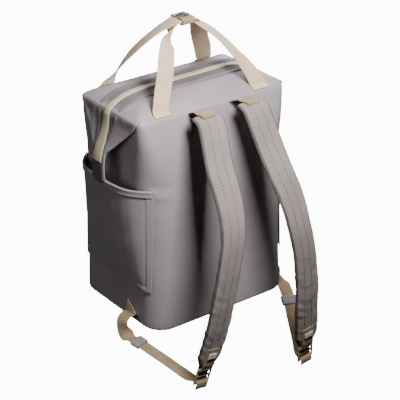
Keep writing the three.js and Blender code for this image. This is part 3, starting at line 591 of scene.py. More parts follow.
def top_height(x, y):
    """Height of the top above a point of the plan, rounded where the slopes meet."""
    first = max(TOP_LENGTH / 2 - abs(x), 0)
    second = max(TOP_DEPTH / 2 - abs(y), 0)
    near, far = min(first, second), max(first, second)
    soft = max(SLOPE_ROUND - (far - near), 0) ** 2 / (4 * SLOPE_ROUND)
    return SHOULDER + float(crown_lift(max(near - soft * min(near / SLOPE_ROUND, 1), 0)))


# Steps round a corner of the bag, and along its two kinds of side
ARC = 14
LONG_SIDE = 44
SHORT_SIDE = 30


def plan_ring(half_length, half_depth, radius, height):
    """A rounded rectangle in plan with the same number of points at any size."""
    ring = []
    corners = ((1, -1, -90, SHORT_SIDE), (1, 1, 0, LONG_SIDE), (-1, 1, 90, SHORT_SIDE),
               (-1, -1, 180, LONG_SIDE))

    def spot(sx, sy, degrees):
        angle = math.radians(degrees)
        return (sx * (half_length - radius) + radius * math.cos(angle),
                sy * (half_depth - radius) + radius * math.sin(angle))

    for sx, sy, first, following in corners:
        ring += [spot(sx, sy, first + 90 * k / ARC) for k in range(ARC + 1)]
        x, y = spot(sx, sy, first + 90)
        next_x, next_y = spot(*((-sx, sy) if sx * sy > 0 else (sx, -sy)), first + 90)
        for k in range(1, following):
            ring.append((mix(x, next_x, k / following), mix(y, next_y, k / following)))
    ring = np.array(ring)
    return np.column_stack([ring, np.full(len(ring), float(height))])


def bag_wrinkle(point):
    """How far the skin stands off its plain form: low swells, and pulls by the pockets."""
    x, y, z = point
    swell = 0.9 * ripple(point, 70, 3.1) + 0.35 * ripple(point, 24, 7.7)
    near_edge = step(0, 30, z) * step(0, 26, SHOULDER - z)
    pull = 0.0
    for side in (1, -1):
        for face in (1, -1):
            rise = z - POCKET_TOP
            away = abs(y) - POCKET_WIDTH / 2
            if x * side <= 100 or y * face <= 0 or away < -6:
                continue
            crease = math.exp(-((rise + 8 + away * 0.9) / 7) ** 2) * math.exp(-(away / 14) ** 2)
            pull += 1.4 * crease
            crease = math.exp(-((rise - 6 + away * 0.4) / 5) ** 2) * math.exp(-(away / 18) ** 2)
            pull -= 1.0 * crease
    return swell * near_edge + pull


def make_body():
    rings = []
    for share in (0.15, 0.4, 0.65, 0.85):
        size = bag_at(0)
        rings.append(plan_ring(size[0] * share, size[1] * share, size[2] * share, 0))
    heights = [0, 0.4, 1.1, 2.2, 3.8, 6.2] + list(np.linspace(10, SHOULDER - 1.5, 92))
    for height in heights:
        half_length, half_depth, radius = bag_at(height)
        if height < BASE_ROUND:
            inset = BASE_ROUND - math.sqrt(BASE_ROUND ** 2 - (BASE_ROUND - height) ** 2)
            size = bag_at(BASE_ROUND + 1)
            half_length, half_depth, radius = size[0] - inset, size[1] - inset, size[2] - inset
        rings.append(plan_ring(half_length, half_depth, radius, height))
    top = bag_at(SHOULDER)
    for inset in (1.0, 2.2, 3.8, 6, 9, 13, 18, 24, 31, 39, 48, 58, 68, 77, 84):
        half_depth = TOP_DEPTH / 2 - inset
        radius = min(float(top[2]) + inset * 0.35, half_depth * 0.95)
        ring = plan_ring(TOP_LENGTH / 2 - inset, half_depth, radius, SHOULDER)
        ring[:, 2] = [top_height(x, y) for x, y, _ in ring]
        rings.append(ring)
    rings = np.array(rings)
    # A soft roll at the shoulder, above the flat rings of the base
    first = 4
    for _ in range(2):
        middle = (rings[first:-2] + rings[first + 2:]) / 2
        weight = step(SHOULDER - 22, SHOULDER - 4, rings[first + 1:-1, :, 2])[..., None] * 0.6
        rings[first + 1:-1] = mix(rings[first + 1:-1], middle, weight)
    centre = np.array((0, 0, SHOULDER * 0.5))
    ways = np.zeros_like(rings)
    ways[1:-1] = np.cross(rings[1:-1] - np.roll(rings[1:-1], 1, axis=1), rings[2:] - rings[:-2])
    ways = unit(ways)
    outward = np.sum(ways * (rings - centre), axis=2, keepdims=True)
    ways = np.where(outward < 0, -ways, ways)
    for r in range(first + 6, len(rings) - 1):
        for c in range(rings.shape[1]):
            rings[r, c] += ways[r, c] * bag_wrinkle(rings[r, c])
    made = lofted("bag_shell", rings, COATED, "coated_fabric", ("body",), sharp=60)


# Wings and zip

HEM_FACE = POCKET_BULGE + FABRIC + SEAT + FABRIC
HEM_SIDE = float(bag_at(POCKET_TOP)[0]) + SEAT + HEM_FACE
WING_REACH = HEM_SIDE + SEAT - TOP_LENGTH / 2


def wing_spot(drop):
    """The wing's inner face in the plane across the bag, and its outward direction."""
    def at(share):
        share = min(max(share, WING[0, 0]), 1)
        reach = softly(WING, 1, share, (-0.02, 0, 0.02))
        return np.array((TOP_LENGTH / 2 + SEAT + reach * WING_REACH, SHOULDER - share * WING_DROP))
    along = unit(at(drop + 0.03) - at(drop - 0.03))
    return at(drop), np.array((-along[1], along[0]))


def wing_half(drop):
    """Half the wing's width at a drop."""
    fall = drop * WING_DROP
    if fall < WING_NECK:
        return mix(TOP_DEPTH / 2, TAB_WIDTH / 2, fall / WING_NECK)
    cut = 0.94 * WING_DROP
    if fall < cut:
        return TAB_WIDTH / 2
    return TAB_WIDTH / 2 * mix(1, 0.62, (fall - cut) / (WING_DROP - cut))


def sheet(name, grid, lift, thick, look, node_name):
    """A closed sheet with rounded borders, from rows of points with their outward directions
    and their places on the sheet. It replaces a node."""
    points, outs, marks = (np.array([[spot[k] for spot in row] for row in grid]) for k in range(3))
    rows, columns = points.shape[:2]
    rim = RIM_SHARE * thick
    middle = points + outs * (lift + thick / 2)
    faces = grid_faces(rows, columns)
    count = rows * columns
    faces += [tuple(count + k for k in face) for face in faces]
    border = ([(0, c) for c in range(columns)] + [(r, columns - 1) for r in range(1, rows)]
              + [(rows - 1, c) for c in range(columns - 2, -1, -1)]
              + [(r, 0) for r in range(rows - 2, 0, -1)])
    order = [r * columns + c for r, c in border]
    edge = []
    for r, c in border:
        inside = middle[min(max(r, 1), rows - 2), min(max(c, 1), columns - 2)]
        edge.append(middle[r, c] + unit(middle[r, c] - inside) * rim)
    first = 2 * count
    for k, here in enumerate(order):
        after = order[(k + 1) % len(order)]
        rim_here, rim_after = first + k, first + (k + 1) % len(order)
        faces.append((here, after, rim_after, rim_here))
        faces.append((rim_here, rim_after, count + after, count + here))
    two_sides = [(middle + outs * (rise * thick / 2)).reshape(-1, 3) for rise in (1, -1)]
    marks = marks.reshape(-1, 2)
    return piece(name, np.concatenate(two_sides + [edge]), faces, look, (node_name,),
                 np.concatenate([marks, marks, marks[order]]))


def wing_fold(side, drop, y):
    """Soft vertical folds on the wing, none at its borders."""
    half = wing_half(drop)
    open_part = step(0.0, 0.12, drop) * (1 - step(0.5, 0.62, drop))
    edge = step(0, 14, half - abs(y))
    off_zip = step(26, 40, abs(y))
    return (1.6 * ripple((y, drop * 60, 0), 22, 1.3 * side) - 0.2) * open_part * edge * off_zip


def wing_way():
    """The wing's middle line: out of the crown, round the hem and down. x, z, outward
    direction, lift of the sheet's inner face, and drop."""
    way = []
    for x in np.linspace(104, 148, 23):
        slope = (top_height(x + 1, 0) - top_height(x - 1, 0)) / 2
        out = unit(np.array((-slope, 1.0)))
        way.append((x, top_height(x, 0), *out, mix(-4.5, -1.2, step(104, 148, x)), -1.0))
    for share in (0.25, 0.5, 0.75):
        angle = math.radians(78 - 60 * share)
        ox, oz = math.cos(angle), math.sin(angle)
        way.append((TOP_LENGTH / 2 - 3.5 + 4 * ox, SHOULDER - 2.5 + 4.5 * oz, ox, oz,
                    mix(-1.0, 0, share), 0.0))
    for drop in np.linspace(0.035, 1, 60):
        (x, z), (ox, oz) = wing_spot(drop)
        way.append((x, z, ox, oz, 0.0, drop))
    return np.array(way)


def make_wing(side):
    name = SIDE_NAME[side]
    grid = []
    for x, z, ox, oz, lift, drop in wing_way():
        half = wing_half(max(drop, 0)) - 8 * (1 - step(-0.02, 0.14, drop)) - (4 if drop < 0 else 0)
        out = np.array((ox * side, 0, oz))
        row = []
        for y in np.linspace(-1, 1, 57) * half:
            point = np.array((x * side, y, z))
            if drop < 0:
                point[2] += top_height(x, y) - top_height(x, 0)
            fold = wing_fold(side, drop, y) if drop > 0 else 0.0
            row.append((point + out * (lift + fold), out, (y, drop * WING_DROP)))
        grid.append(row)
    made = sheet(f"wing_skin_{name}", grid, 0, WING_THICK, COATED, f"wing_{name}")

    grid = []
    for drop in np.linspace((BAND_STOP + SEAT) / WING_DROP, 0.995, 22):
        (x, z), (ox, oz) = wing_spot(drop)
        half = min(wing_half(drop), TAB_WIDTH / 2) - 2
        out = np.array((ox * side, 0, oz))
        grid.append([((x * side, y, z), out, (y, drop * WING_DROP))
                     for y in np.linspace(-1, 1, 19) * half])
    sheet(f"tab_patch_{name}", grid, WING_THICK + SEAT, PATCH_THICK, PATCH,
          f"wing_patch_{name}")


def zip_way(stop_drop, crown_steps, wing_steps):
    """Half of the zip's way from the middle of the crown to the wing's foot: x, z, outward
    direction, and whether it lies on the crown."""
    way = []
    half = TOP_LENGTH / 2
    for k in range(crown_steps + 1):
        x = half * math.sin(k / crown_steps * math.pi / 2 * 0.95)
        slope = top_height(x + 1, 0) - top_height(x - 1, 0)
        way.append((x, top_height(x, 0), *unit(np.array((-slope / 2, 1.0))), 1.0))
    for k in range(wing_steps + 1):
        drop = mix(0.06, stop_drop, k / wing_steps)
        (x, z), (ox, oz) = wing_spot(drop)
        way.append((x + ox * WING_THICK, z + oz * WING_THICK, ox, oz, 0.0))
    return np.array(way)


def zip_ribbon(name, stop_drop, width_at, lift, thick, across, pitch, look, node_name,
               relief):
    """A ribbon over the whole zip. relief(y, half, along) is its height off the plain form."""
    half = zip_way(stop_drop, 12, 12)
    full = np.vstack([half[:0:-1] * (-1, 1, -1, 1, 1), half])
    shares = np.abs(np.linspace(-1, 1, len(full)))
    along = distances(full[:, :2])
    count = int(along[-1] / pitch)
    steps = np.linspace(0, along[-1], count + 1)
    soft = np.linspace(-9, 9, 7)
    fine = np.array([np.mean([np.interp(steps + s, along, full[:, k]) for s in soft], axis=0)
                     for k in range(5)]).T
    fine[:, 0] = np.interp(steps, along, full[:, 0]) * 0.5 + fine[:, 0] * 0.5
    fine[:, 1] = np.interp(steps, along, full[:, 1]) * 0.5 + fine[:, 1] * 0.5
    share = np.interp(steps, along, shares)
    end = TOP_LENGTH / 2 - 1
    grid = []
    for k, (x, z, ox, oz, crown) in enumerate(fine):
        out = unit(np.array((ox, 0, oz)))
        half = width_at(share[k]) / 2
        inside = min(max(x, -end), end)
        row = []
        for y in np.linspace(-1, 1, across + 1) * half:
            fall = (top_height(inside, 0) - top_height(inside, y)) * crown
            spot = np.array((x, y, z - fall)) + out * relief(y, half, steps[k])
            row.append((spot, out, (y, steps[k])))
        grid.append(row)
    sheet(name, grid, lift, thick, look, node_name)


def make_zip():
    def tape_width(share):
        return mix(TAPE_WIDTH, TAPE_END, max(share * 2 - 0.85, 0) / 1.15)

    def ribs(y, half, along):
        weld = math.exp(-((half - 4.2 - abs(y)) / 3.4) ** 2) * 0.9
        fine = 0.3 * math.cos(along * 2 * math.pi / 2.6)
        inside = 1 - step(half - 8, half - 5.5, abs(y))
        return weld + fine * inside

    zip_ribbon("zip_tape_ribbed", BAND_STOP / WING_DROP, tape_width, SEAT, TAPE_THICK, 30, 0.53,
               TAPE, "zip_tape", ribs)

    def band_width(share):
        return mix(BAND_WIDTH, BAND_END, max(share - BAND_WIDENS, 0) / (1 - BAND_WIDENS))

    def dome(y, half, along):
        return 0.9 * math.cos(y / half * math.pi / 2) ** 0.7 + 0.12 * ripple((along, y, 0), 12)

    zip_ribbon("zip_cover", (BAND_STOP - SEAT) / WING_DROP, band_width, SEAT * 2 + TAPE_THICK,
               BAND_THICK, 12, 2.0, COIL, "zip_band", dome)


def make_slider():
    """The zip's slider with its bridge and pull tab, parked low on the far wing."""
    (x, z), (ox, oz) = wing_spot((BAND_STOP - SLIDER_LENGTH) / WING_DROP)
    out = np.array((ox, 0.0, oz))
    way = np.cross(out, Y)
    away = WING_THICK + TAPE_THICK + BAND_THICK + SEAT * 3 + SLIDER_HEIGHT / 2
    middle = np.array((x, 0.0, z)) + out * away

    rings = []
    for along, wide, high in SLIDER_BODY:
        section = flat_outline(wide * SLIDER_WIDTH, high * SLIDER_HEIGHT, across=8, corner=1.2)
        section[:, 1] += (high - 1) * SLIDER_HEIGHT / 2
        rings.append(laid(middle + way * along * SLIDER_LENGTH, section, Y, out))
    look = SLIDER, "slider_plastic"
    lofted("zip_slider_body", rings, *look, ("zip_slider",), sharp=60)

    steps = ((-5, 0.8), (-4, 2.6), (0, 3.2), (3, 2.6), (4, 0.8))
    arch = [middle + way * along + out * high for along, high in steps]
    route = Strip(arch, Y, 24)
    rings, _ = route.rings(lambda k: flat_outline(2.6, 1.1, across=4, corner=0.5))
    lofted("zip_slider_bridge", rings, *look, sharp=60)

    hang = [middle + way * a + out * h for a, h in ((-1.5, 4.4), (-6, 3.8), (-11, 2.6))]
    hang += [hang[-1] - Z * fall for fall in (6, 12)]
    route = Strip(hang, Y, 30)
    total = route.length[-1]

    def tab(k):
        share = route.length[k] / total
        wide = mix(3.4, 6.4, step(0.1, 0.5, share))
        wide *= math.sqrt(max(1 - max(share - 0.85, 0) * 5, 0.2))
        return flat_outline(wide, 1.2 + 0.5 * step(0.45, 0.55, share), across=6, corner=0.5)

    rings, _ = route.rings(tab)
    lofted("zip_pull_tab", rings, *look, sharp=60)


# Pockets


def side_spot(y, height):
    """A place on the bag's side, with its outward direction."""
    half_length, half_depth, radius = (float(v) for v in bag_at(height))
    past = abs(y) - (half_depth - radius)
    if past <= 0:
        return half_length, X.copy()
    deep = math.sqrt(max(radius ** 2 - past ** 2, 0.01))
    return half_length - radius + deep, unit(np.array((deep, math.copysign(past, y), 0.0)))


def pocket_point(y, height, side):
    """A place on the pocket's inner face, with its outward direction."""
    climb = min((height - POCKET_LOW) / (POCKET_TOP - POCKET_LOW), 1)
    swell = math.sin(max(climb, 0) * math.pi / 2) ** 0.8
    share = abs(y) / (POCKET_WIDTH / 2)
    profile = softly(POCKET, 1, share, (-0.05, -0.025, 0, 0.025, 0.05))
    profile *= 1 - step(0.93, 1.0, share)
    bulge = profile * POCKET_BULGE * swell
    x, out = side_spot(y, height)
    out = unit(mix(out, X, min(bulge / POCKET_BULGE + 0.3, 1)))
    crease = 0.7 * ripple((y, height, 0), 40, 5.0 + side)
    crease = crease * step(0, 0.2, 1 - share) * step(0, 0.15, climb)
    return np.array(((x + SEAT + bulge + crease) * side, y, height)), out * (side, 1, 1)


def make_pocket(side):
    name = SIDE_NAME[side]
    half = POCKET_WIDTH / 2
    low = POCKET_LOW + 8
    heights = [*np.linspace(POCKET_LOW, low, 5)[:-1], *np.linspace(low, POCKET_TOP, 60)]
    reach = math.pi / 2 * 0.92
    grid = []
    for height in heights:
        row = []
        for share in np.sin(np.linspace(-1, 1, 85) * math.pi / 2 * 0.92) / math.sin(reach):
            point, out = pocket_point(share * half, height, side)
            # The welded border stands a little proud along the two sides and the bottom
            far = min((1 - abs(share)) * half, height - POCKET_LOW)
            proud = 0.9 * (1 - step(6.5, 8.0, far)) - 0.5 * math.exp(-((far - 9) / 1.2) ** 2)
            row.append((point + out * proud, out, (share * half, height)))
        grid.append(row)
    made = sheet(f"pocket_skin_{name}", grid, SEAT, FABRIC, COATED,
                 f"pocket_{name}")

    grid = []
    for height in np.linspace(POCKET_TOP - HEM, POCKET_TOP + 0.6, 12):
        ridge = 0.9 * math.exp(-((height - POCKET_TOP + 1.3) / 1.3) ** 2)
        ridge += 0.5 * math.exp(-((height - POCKET_TOP + HEM - 1.2) / 1.0) ** 2)
        row = []
        for share in np.linspace(-0.985, 0.985, 90):
            point, out = pocket_point(share * half, min(height, POCKET_TOP), side)
            place = point * (1, 1, 0) + (0, 0, height) + out * ridge
            row.append((place, out, (share * half, height)))
        grid.append(row)
    sheet(f"pocket_hem_fold_{name}", grid, SEAT * 2 + FABRIC, FABRIC, COATED,
          f"pocket_hem_{name}")


# Handles


def crown_spot(x, y, lift):
    """A place over the crown, lifted square to it."""
    slope_x = (top_height(x + 1, y) - top_height(x - 1, y)) / 2
    slope_y = (top_height(x, y + 1) - top_height(x, y - 1)) / 2
    out = unit(np.array((-slope_x, -slope_y, 1.0)))
    return np.array((x, y, top_height(x, y))) + out * lift


FOOT_Y = TOP_DEPTH / 2 - HANDLE_FOOT
GRIP_MIDDLE = top_height(0, FOOT_Y) + HANDLE_RISE


def make_handle(name, face, stack):
    half = HANDLE_SPAN / 2
    lift = WEBBING / 2 + SEAT + 0.5
    toe = crown_spot(half, face * (FOOT_Y + HANDLE_FOOT * 0.8), lift)
    foot = crown_spot(half, face * FOOT_Y, lift)
    legs = {}
    for leg in (1, -1):
        points = [toe, foot]
        sides = [X, X]
        for (across, out, up), turn in zip(LEG, TURNS[name][leg]):
            z = mix(foot[2], GRIP_MIDDLE + stack, up)
            points.append(np.array((across * half, out * foot[1], z)))
            sides.append(mix(X, Y if name == "back" and leg > 0 else -Y, turn))
        legs[leg] = points, sides
    points = legs[1][0] + [p * (-1, 1, 1) for p in legs[-1][0][-2::-1]]
    turned = (-1, 1, 1) if name == "front" else (1, -1, -1)
    sides = legs[1][1] + [s * turned for s in legs[-1][1][-2::-1]]
    strip = Strip(points, sides, 220)
    webbing(f"handle_webbing_{name}", strip, HANDLE_WIDTH, WEBBING, CREAM, "cream_webbing",
            (f"handle_{name}",), wave_size=0.5, seed=face * 2.0)


def make_wrap():
    rise = HANDLE_STACK / 2 + WEBBING / 2 + WRAP_ROOM
    half = HANDLE_WIDTH / 2 + WRAP_ROOM
    steps = ((0, -0.5), (WRAP_WALL, -0.5), (WRAP_WALL, -0.17), (WRAP_WALL, 0.17),
             (WRAP_WALL, 0.5), (0, 0.5), (0, 0.0))
    rings = [[(x * WRAP_LENGTH, y, GRIP_MIDDLE + z)
              for y, z in rounded(half + wall, rise + wall, 2.5 + wall, 8)] for wall, x in steps]
    marks = [(spot[0], far) for ring in rings for spot, far in zip(ring, distances(rings[1]))]
    lofted("grip_wrap", rings, TAN, "tan_webbing", ("handle_wrap",), marks, closed_loop=True,
           sharp=60)

    top = GRIP_MIDDLE + rise + WRAP_WALL + SEAT
    profile = ((0.985, 0.0), (1.0, 0.5), (0.98, 1.3), (0.9, 2.1), (0.84, 2.3), (0.8, 2.1),
               (0.74, 2.05), (0.68, 2.35), (0.5, 2.75), (0.25, 2.95), (0.08, 3.0))
    angles = np.linspace(0, 2 * math.pi, 49)[:-1]
    rings = [np.column_stack([np.cos(angles) * 12.5 * share, np.sin(angles) * 8.5 * share,
                              np.full(48, top + height)]) for share, height in profile]
    lofted("grip_snap_cap", rings, CAP, "snap_cap", ("handle_snap",), sharp=60)


# Shoulder straps and all that hangs from them


# Points of the strap's section along each face and round each piped edge
FACE_POINTS = 41
EDGE_POINTS = 9
PIPING_RADIUS = 2.1


def strap_outline(wide, thick):
    """A padded section: piped borders, two stitched channels, and a softly crowned face."""
    half = wide / 2
    rise = thick / 2
    top = []
    for s in np.linspace(-(half - 4), half - 4, FACE_POINTS):
        share = abs(s) / half
        lift = rise * (1 - 0.1 * share ** 2)
        lift -= 0.5 * math.exp(-((abs(s) - half * 0.3) / 2.2) ** 2)
        lift -= 1.5 * math.exp(-((abs(s) - (half - 4)) / 1.4) ** 2)
        top.append((s, lift))
    edge = []
    for k in range(EDGE_POINTS):
        angle = math.radians(100 - 190 * k / (EDGE_POINTS - 1))
        edge.append((half - PIPING_RADIUS + PIPING_RADIUS * math.cos(angle),
                     PIPING_RADIUS * math.sin(angle) * 1.1))
    low = [(s, -f * 0.92) for s, f in reversed(top)]
    back = [(-s, -f) for s, f in edge]
    return np.array(top + edge + low + back)


def make_harness(side):
    name = SIDE_NAME[side]
    drop = STRAP_DROP + LONGER[side]
    points = [
        ((mix(STRAP_SPREAD_TOP, STRAP_SPREAD_LOW, spread) / 2) * side,
         -(STRAP_REACH + bow * STRAP_BOW), STRAP_TOP - fall * drop)
        for spread, bow, fall, _ in STRAP
    ]
    strap = Strip(points, X, 300)
    widths = np.interp(strap.row, range(len(STRAP)), STRAP[:, 3])
    total = strap.length[-1]

    def outline(k):
        far = min(strap.length[k], total - strap.length[k])
        end = math.sqrt(1 - (1 - min(far / 9, 1)) ** 2)
        low = step(0.45, 0.8, strap.length[k] / total)
        section = strap_outline(widths[k] * STRAP_WIDTH * mix(0.86, 1, end),
                                STRAP_THICK * mix(0.45, 1, end))
        for spot in section:
            where = (strap.length[k] + abs(spot[0]) * 0.5, spot[0] * 0.35, side * 9.0)
            border = step(0.3, 0.7, abs(spot[0]) / (STRAP_WIDTH / 2))
            pucker = 0.25 + low * mix(0.6, 1.7, border)
            spot[1] += pucker * ripple(where, 11, 2.0) * end * math.copysign(1, spot[1])
            spot[1] += 0.8 * ripple((strap.length[k], spot[0] * 0.3, 0), 45, side * 3.0) * end
        return section

    rings, marks = strap.rings(outline)
    shape, faces = tube(rings)
    columns = rings.shape[1]
    around = FACE_POINTS + EDGE_POINTS
    # The piped faces take the piping colour, which carries painted shade along the strap's edges.
    piped = [int(face[0] % columns % around >= FACE_POINTS) for face in faces]
    made = piece(f"strap_pad_{name}", shape, faces, TWILL,
                 (f"shoulder_strap_{name}",), marks, looks=(TWILL, SHADED_PIPING), face_looks=piped)

    # A stitch row down each of the two channels
    pitch = 5.6
    spots, ways, outs = [], [], []
    for k in range(6, len(strap.t) - 8):
        if int(strap.length[k] / pitch) == int(strap.length[k - 1] / pitch):
            continue
        for hand in (1, -1):
            across = hand * widths[k] * STRAP_WIDTH / 2 * 0.3
            spots.append(strap.place[k] + strap.side[k] * across
                         + strap.face[k] * (STRAP_THICK / 2 - 0.35))
            ways.append(strap.way[k])
            outs.append(strap.face[k])
    stitches(f"strap_stitches_{name}", spots, ways, outs, THREAD,
             long=2.4, wide=1.8, high=0.8)
    return strap


def harness_webbing(name, points, sides, steps, replaces=(), thick=WEBBING, **form):
    """Tan webbing of the harness's width along points."""
    route = Strip(points, sides, steps)
    webbing(name, route, HARNESS, thick, TAN, "tan_webbing", replaces, **form)
    return route


def make_fittings(side, strap):
    name = SIDE_NAME[side]
    flip = np.array((side, 1, 1))
    lift = SEAT + WEBBING / 2

    def face_spot(t, height):
        return strap.spot(t, 0, STRAP_THICK / 2 + height)

    panel = float(bag_at(ANCHOR_HEIGHT)[1])
    start = np.array((ANCHOR_SPREAD / 2 * side, -panel, ANCHOR_HEIGHT))
    over = face_spot(0, lift)
    points = [start, mix(start, over, 0.3) + (0, 0, 2), mix(start, over, 0.65) + (0, 0, 3), over]
    points += [face_spot(t, lift) for t in (0.03, 0.06, 0.09)]
    harness_webbing(f"strap_tab_{name}", points, X, 60,
                    (f"strap_anchor_{name}",), wave_size=0.2, folded=15)

    tip_place, tip_way, tip_side, tip_face, _ = strap.frame(1)
    middle = tip_place + tip_way * BUCKLE_DROP
    up = -tip_way
    top_bar = BUCKLE_HEIGHT / 2 - BUCKLE_BAR / 2
    turn = (math.hypot(BUCKLE_BAR, BUCKLE_THICK) + WEBBING) / 2 + SEAT

    def in_buckle(height, away):
        """A place by the adjuster: height along its rails, away from its middle plane."""
        return middle + up * height + tip_face * away

    def round_bar(bar, first, last):
        """The webbing's way round a bar at a height, between two angles."""
        return [in_buckle(bar + turn * math.cos(a), turn * math.sin(a))
                for a in np.linspace(first, last, 7)]

    points = [face_spot(t, lift) for t in (0.895, 0.92, 0.945, 0.97, 1)]
    points.append(in_buckle(top_bar + 6, turn + 0.6))
    points += round_bar(top_bar, math.pi / 2, math.pi * 1.5)
    points.append(in_buckle(top_bar + 6, -turn))
    harness_webbing(f"buckle_loop_{name}", points, tip_side, 90,
                    (f"buckle_tab_{name}",))

    _, way, across, face, _ = strap.frame(0.93)
    centre = face_spot(0.93, SEAT * 3 + WEBBING + FABRIC / 2)
    rings = []
    marks = []
    for share in np.linspace(-1, 1, 13):
        swell = 0.35 + 0.65 * math.sqrt(max(1 - abs(share) ** 6, 0))
        section = flat_outline(TAG_WIDTH, FABRIC * swell, across=8)
        height = share * TAG_HEIGHT / 2
        rings.append(laid(centre - way * height, section, across, face))
        marks += [(s, height) for s in section[:, 0]]
    lofted(f"tag_fold_{name}", rings, TAG, "pale_tag", (f"end_tag_{name}",), marks)

    make_buckle(name, middle, tip_side, up, tip_face)

    # The turned-back end of the webbing fills the gaps behind the middle bar
    gap = top_bar - turn - WEBBING / 2 - SEAT * 2
    rest = BUCKLE_THICK / 2 + WEBBING / 2 + SEAT
    points = [in_buckle(gap * share, -rest * (1 - share ** 2))
              for share in (1, 0.7, 0.35, 0, -0.35, -0.7, -1)]
    harness_webbing(f"adjuster_webbing_{name}", points, tip_side, 24,
                    thick=WEBBING * 0.8, wave_size=0.1)

    # The free webbing turns from its width across the bag to that of the buckle
    half_length = float(bag_at(START_HEIGHT)[0])
    start = np.array((half_length + WEBBING + SEAT * 4, -START_BACK, START_HEIGHT))
    behind = in_buckle(-top_bar - 6, -turn * 2) * flip
    points = [mix(start, behind, along) + (out * SWING, 0, -sag * SAG)
              for along, out, sag, _ in FREE]
    points = [p * flip for p in points]
    points += round_bar(-top_bar, -math.pi * 0.3, math.pi / 2)
    points += [in_buckle(-top_bar - TAIL / 2, turn), in_buckle(-top_bar - TAIL, turn - 1)]
    last = tip_side * -side
    sides = [mix(-Y, last * flip, turned) * flip for turned in FREE[:, 3]]
    sides += [last] * (len(points) - len(FREE))
    route = harness_webbing(f"free_webbing_{name}", points, sides, 240,
                            (f"lower_webbing_{name}",), wave_size=0.4, seed=side)
    make_keeper(name, route, KEEPER_ROW[side] / (len(points) - 1))


def make_buckle(name, middle, side, up, face):
    """A ladder adjuster: two rails and three ridged bars in one moulding."""
    half = BUCKLE_HEIGHT / 2
    angles = [k * math.pi / 6 for k in range(12)]
    points = []
    faces = []

    def rod(first, last, ring_of, count):
        start = len(points)
        for share in np.linspace(0, 1, count):
            centre = mix(np.array(first), np.array(last), share)
            for s, h, f in ring_of(share):
                points.append(middle + side * (centre[0] + s) + up * (centre[1] + h)
                              + face * (centre[2] + f))
        faces.extend(grid_faces(count, len(angles), wrap=True, start=start))
        faces.extend(cap(end, len(angles)) for end in (start, len(points) - len(angles)))

    def bar_ring(share):
        ridge = 1 + 0.08 * math.cos(share * 24 * math.pi)
        return [(0, BUCKLE_BAR / 2 * math.cos(a) * ridge, BUCKLE_THICK / 2 * math.sin(a) * ridge)
                for a in angles]

    def rail_ring(share):
        slim = mix(0.8, 1.0, min(min(share, 1 - share) / 0.08, 1))
        return [(RAIL / 2 * math.cos(a) * slim, 0, BUCKLE_THICK / 2 * math.sin(a) * slim)
                for a in angles]

    reach = BUCKLE_WIDTH / 2 - 1.5
    for height in (half - BUCKLE_BAR / 2, 0, -half + BUCKLE_BAR / 2):
        rod((-reach, height, 0), (reach, height, 0), bar_ring, 49)
    for hand in (1, -1):
        rail = hand * (BUCKLE_WIDTH / 2 - 2)
        rod((rail, -half, 0), (rail, half, 0), rail_ring, 25)
    piece(f"adjuster_{name}", points, faces, KHAKI, (f"ladder_buckle_{name}",))


def make_keeper(name, route, t):
    """A soft moulded sleeve with rolled ends and a rounded back."""
    place, way, side, face, _ = route.frame(t)
    inner_half = HARNESS / 2 + KEEPER_ROOM
    inner_rise = WEBBING / 2 + KEEPER_ROOM
    steps = ((0, -0.46), (0.3, -0.5), (0.65, -0.5), (0.9, -0.46), (1, -0.38), (1, -0.15),
             (1, 0.15), (1, 0.38), (0.9, 0.46), (0.65, 0.5), (0.3, 0.5), (0, 0.46), (0, 0.2),
             (0, -0.2))
    rings = []
    for wall, length in steps:
        grow = wall * KEEPER_WALL
        section = rounded(inner_half + grow, inner_rise + grow, inner_rise * 0.9 + grow, 6)
        rings.append([place + side * s + face * f + way * length * KEEPER_LENGTH
                      for s, f in section])
    lofted(f"keeper_sleeve_{name}", rings, KEEPER, "keeper_plastic", (f"keeper_{name}",),
           closed_loop=True, sharp=70)


def make_fold(side):
    """The triangle that the free webbing folds into where it is sewn on the side."""
    name = SIDE_NAME[side]
    low = BASE_ROUND + WEBBING
    x = float(bag_at(low)[0]) + SEAT
    corners = np.array([(-0.42, 0.42), (-0.05, -0.12), (0.62, 0.3), (0.34, 1.3)]) * (30, 25)
    centre = corners.mean(axis=0)
    rings = []
    marks = []
    steps = ((0.0, 0.2), (0.9, 0), (0.97, 0.3), (1.0, 1.0), (0.97, 1.8), (0.9, 2.1),
             (0.5, 2.3), (0.0, 2.4))
    for shrink, out in steps:
        ring = []
        for k in range(4):
            for s in np.linspace(0, 1, 9)[:-1]:
                p = mix(corners[k], corners[(k + 1) % 4], s)
                p = centre + (p - centre) * max(shrink, 0.02)
                ring.append((side * (x + out), -START_BACK + p[0], low + p[1]))
                marks.append((p[0], p[1]))
        rings.append(ring)
    lofted(f"webbing_fold_{name}", rings, CREAM, "tan_webbing", (f"webbing_anchor_{name}",),
           marks)


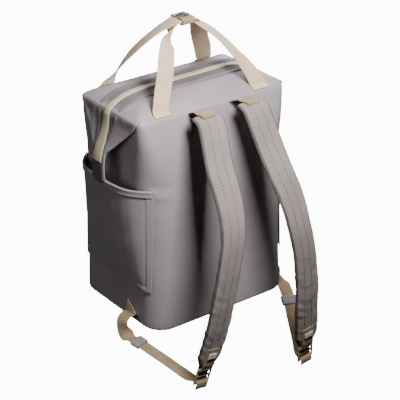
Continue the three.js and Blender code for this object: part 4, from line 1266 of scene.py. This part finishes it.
make_body()
make_zip()
make_slider()
for hand in (1, -1):
    make_wing(hand)
    make_pocket(hand)
    make_fold(hand)
make_handle("back", -1, -HANDLE_STACK / 2)
make_handle("front", 1, HANDLE_STACK / 2)
make_wrap()
for hand in (1, -1):
    make_fittings(hand, make_harness(hand))

# Studio


def area_light(name, place, aim, size, power):
    data = bpy.data.lights.new(name, "AREA")
    data.size = size
    data.energy = power
    light = bpy.data.objects.new(name, data)
    light.location = place
    light.rotation_euler = (Vector(place) - Vector(aim)).to_track_quat("Z", "Y").to_euler()
    light.visible_camera = False
    scene.collection.objects.link(light)


MIDDLE = (0.0, 0.0, -0.33)
area_light("key", (-0.115, -0.63, 0.42), (0.0, -0.1, 0.02), 0.28, 17)
area_light("top", (0.25, 0.0, 1.2), MIDDLE, 0.9, 8.5)
area_light("rear", (1.5, 1.1, 0.4), MIDDLE, 0.9, 22)
area_light("side", (-2.2, 0.5, 0.0), MIDDLE, 1.2, 8)

world = bpy.data.worlds.new("studio")
world.use_nodes = True
world.node_tree.nodes["Background"].inputs["Color"].default_value = (1, 1, 1, 1)
world.node_tree.nodes["Background"].inputs["Strength"].default_value = 0.008
scene.world = world


def make_studio():
    """A pale floor that curves up into a round backdrop. It doesn't light the object."""
    floor_height = -1.15
    rings = [(6.0, 0.0), (7.5, 0.2), (8.6, 0.8), (9.3, 1.9), (9.6, 3.4), (9.6, 9.0)]
    turns = 72
    points = [(0.0, 0.0, floor_height)]
    for reach, rise in rings:
        for k in range(turns):
            angle = 2 * math.pi * k / turns
            points.append((reach * math.cos(angle), reach * math.sin(angle), floor_height + rise))
    faces = [(0, 1 + k, 1 + (k + 1) % turns) for k in range(turns)]
    faces += grid_faces(len(rings), turns, wrap=True, start=1)
    mesh = bpy.data.meshes.new("studio_floor")
    mesh.from_pydata(points, [], faces)
    mesh.materials.append(STUDIO)
    mesh.polygons.foreach_set("use_smooth", [True] * len(mesh.polygons))
    made = bpy.data.objects.new("studio_floor", mesh)
    made.visible_diffuse = False
    made.visible_glossy = False
    made.visible_shadow = False
    scene.collection.objects.link(made)


make_studio()
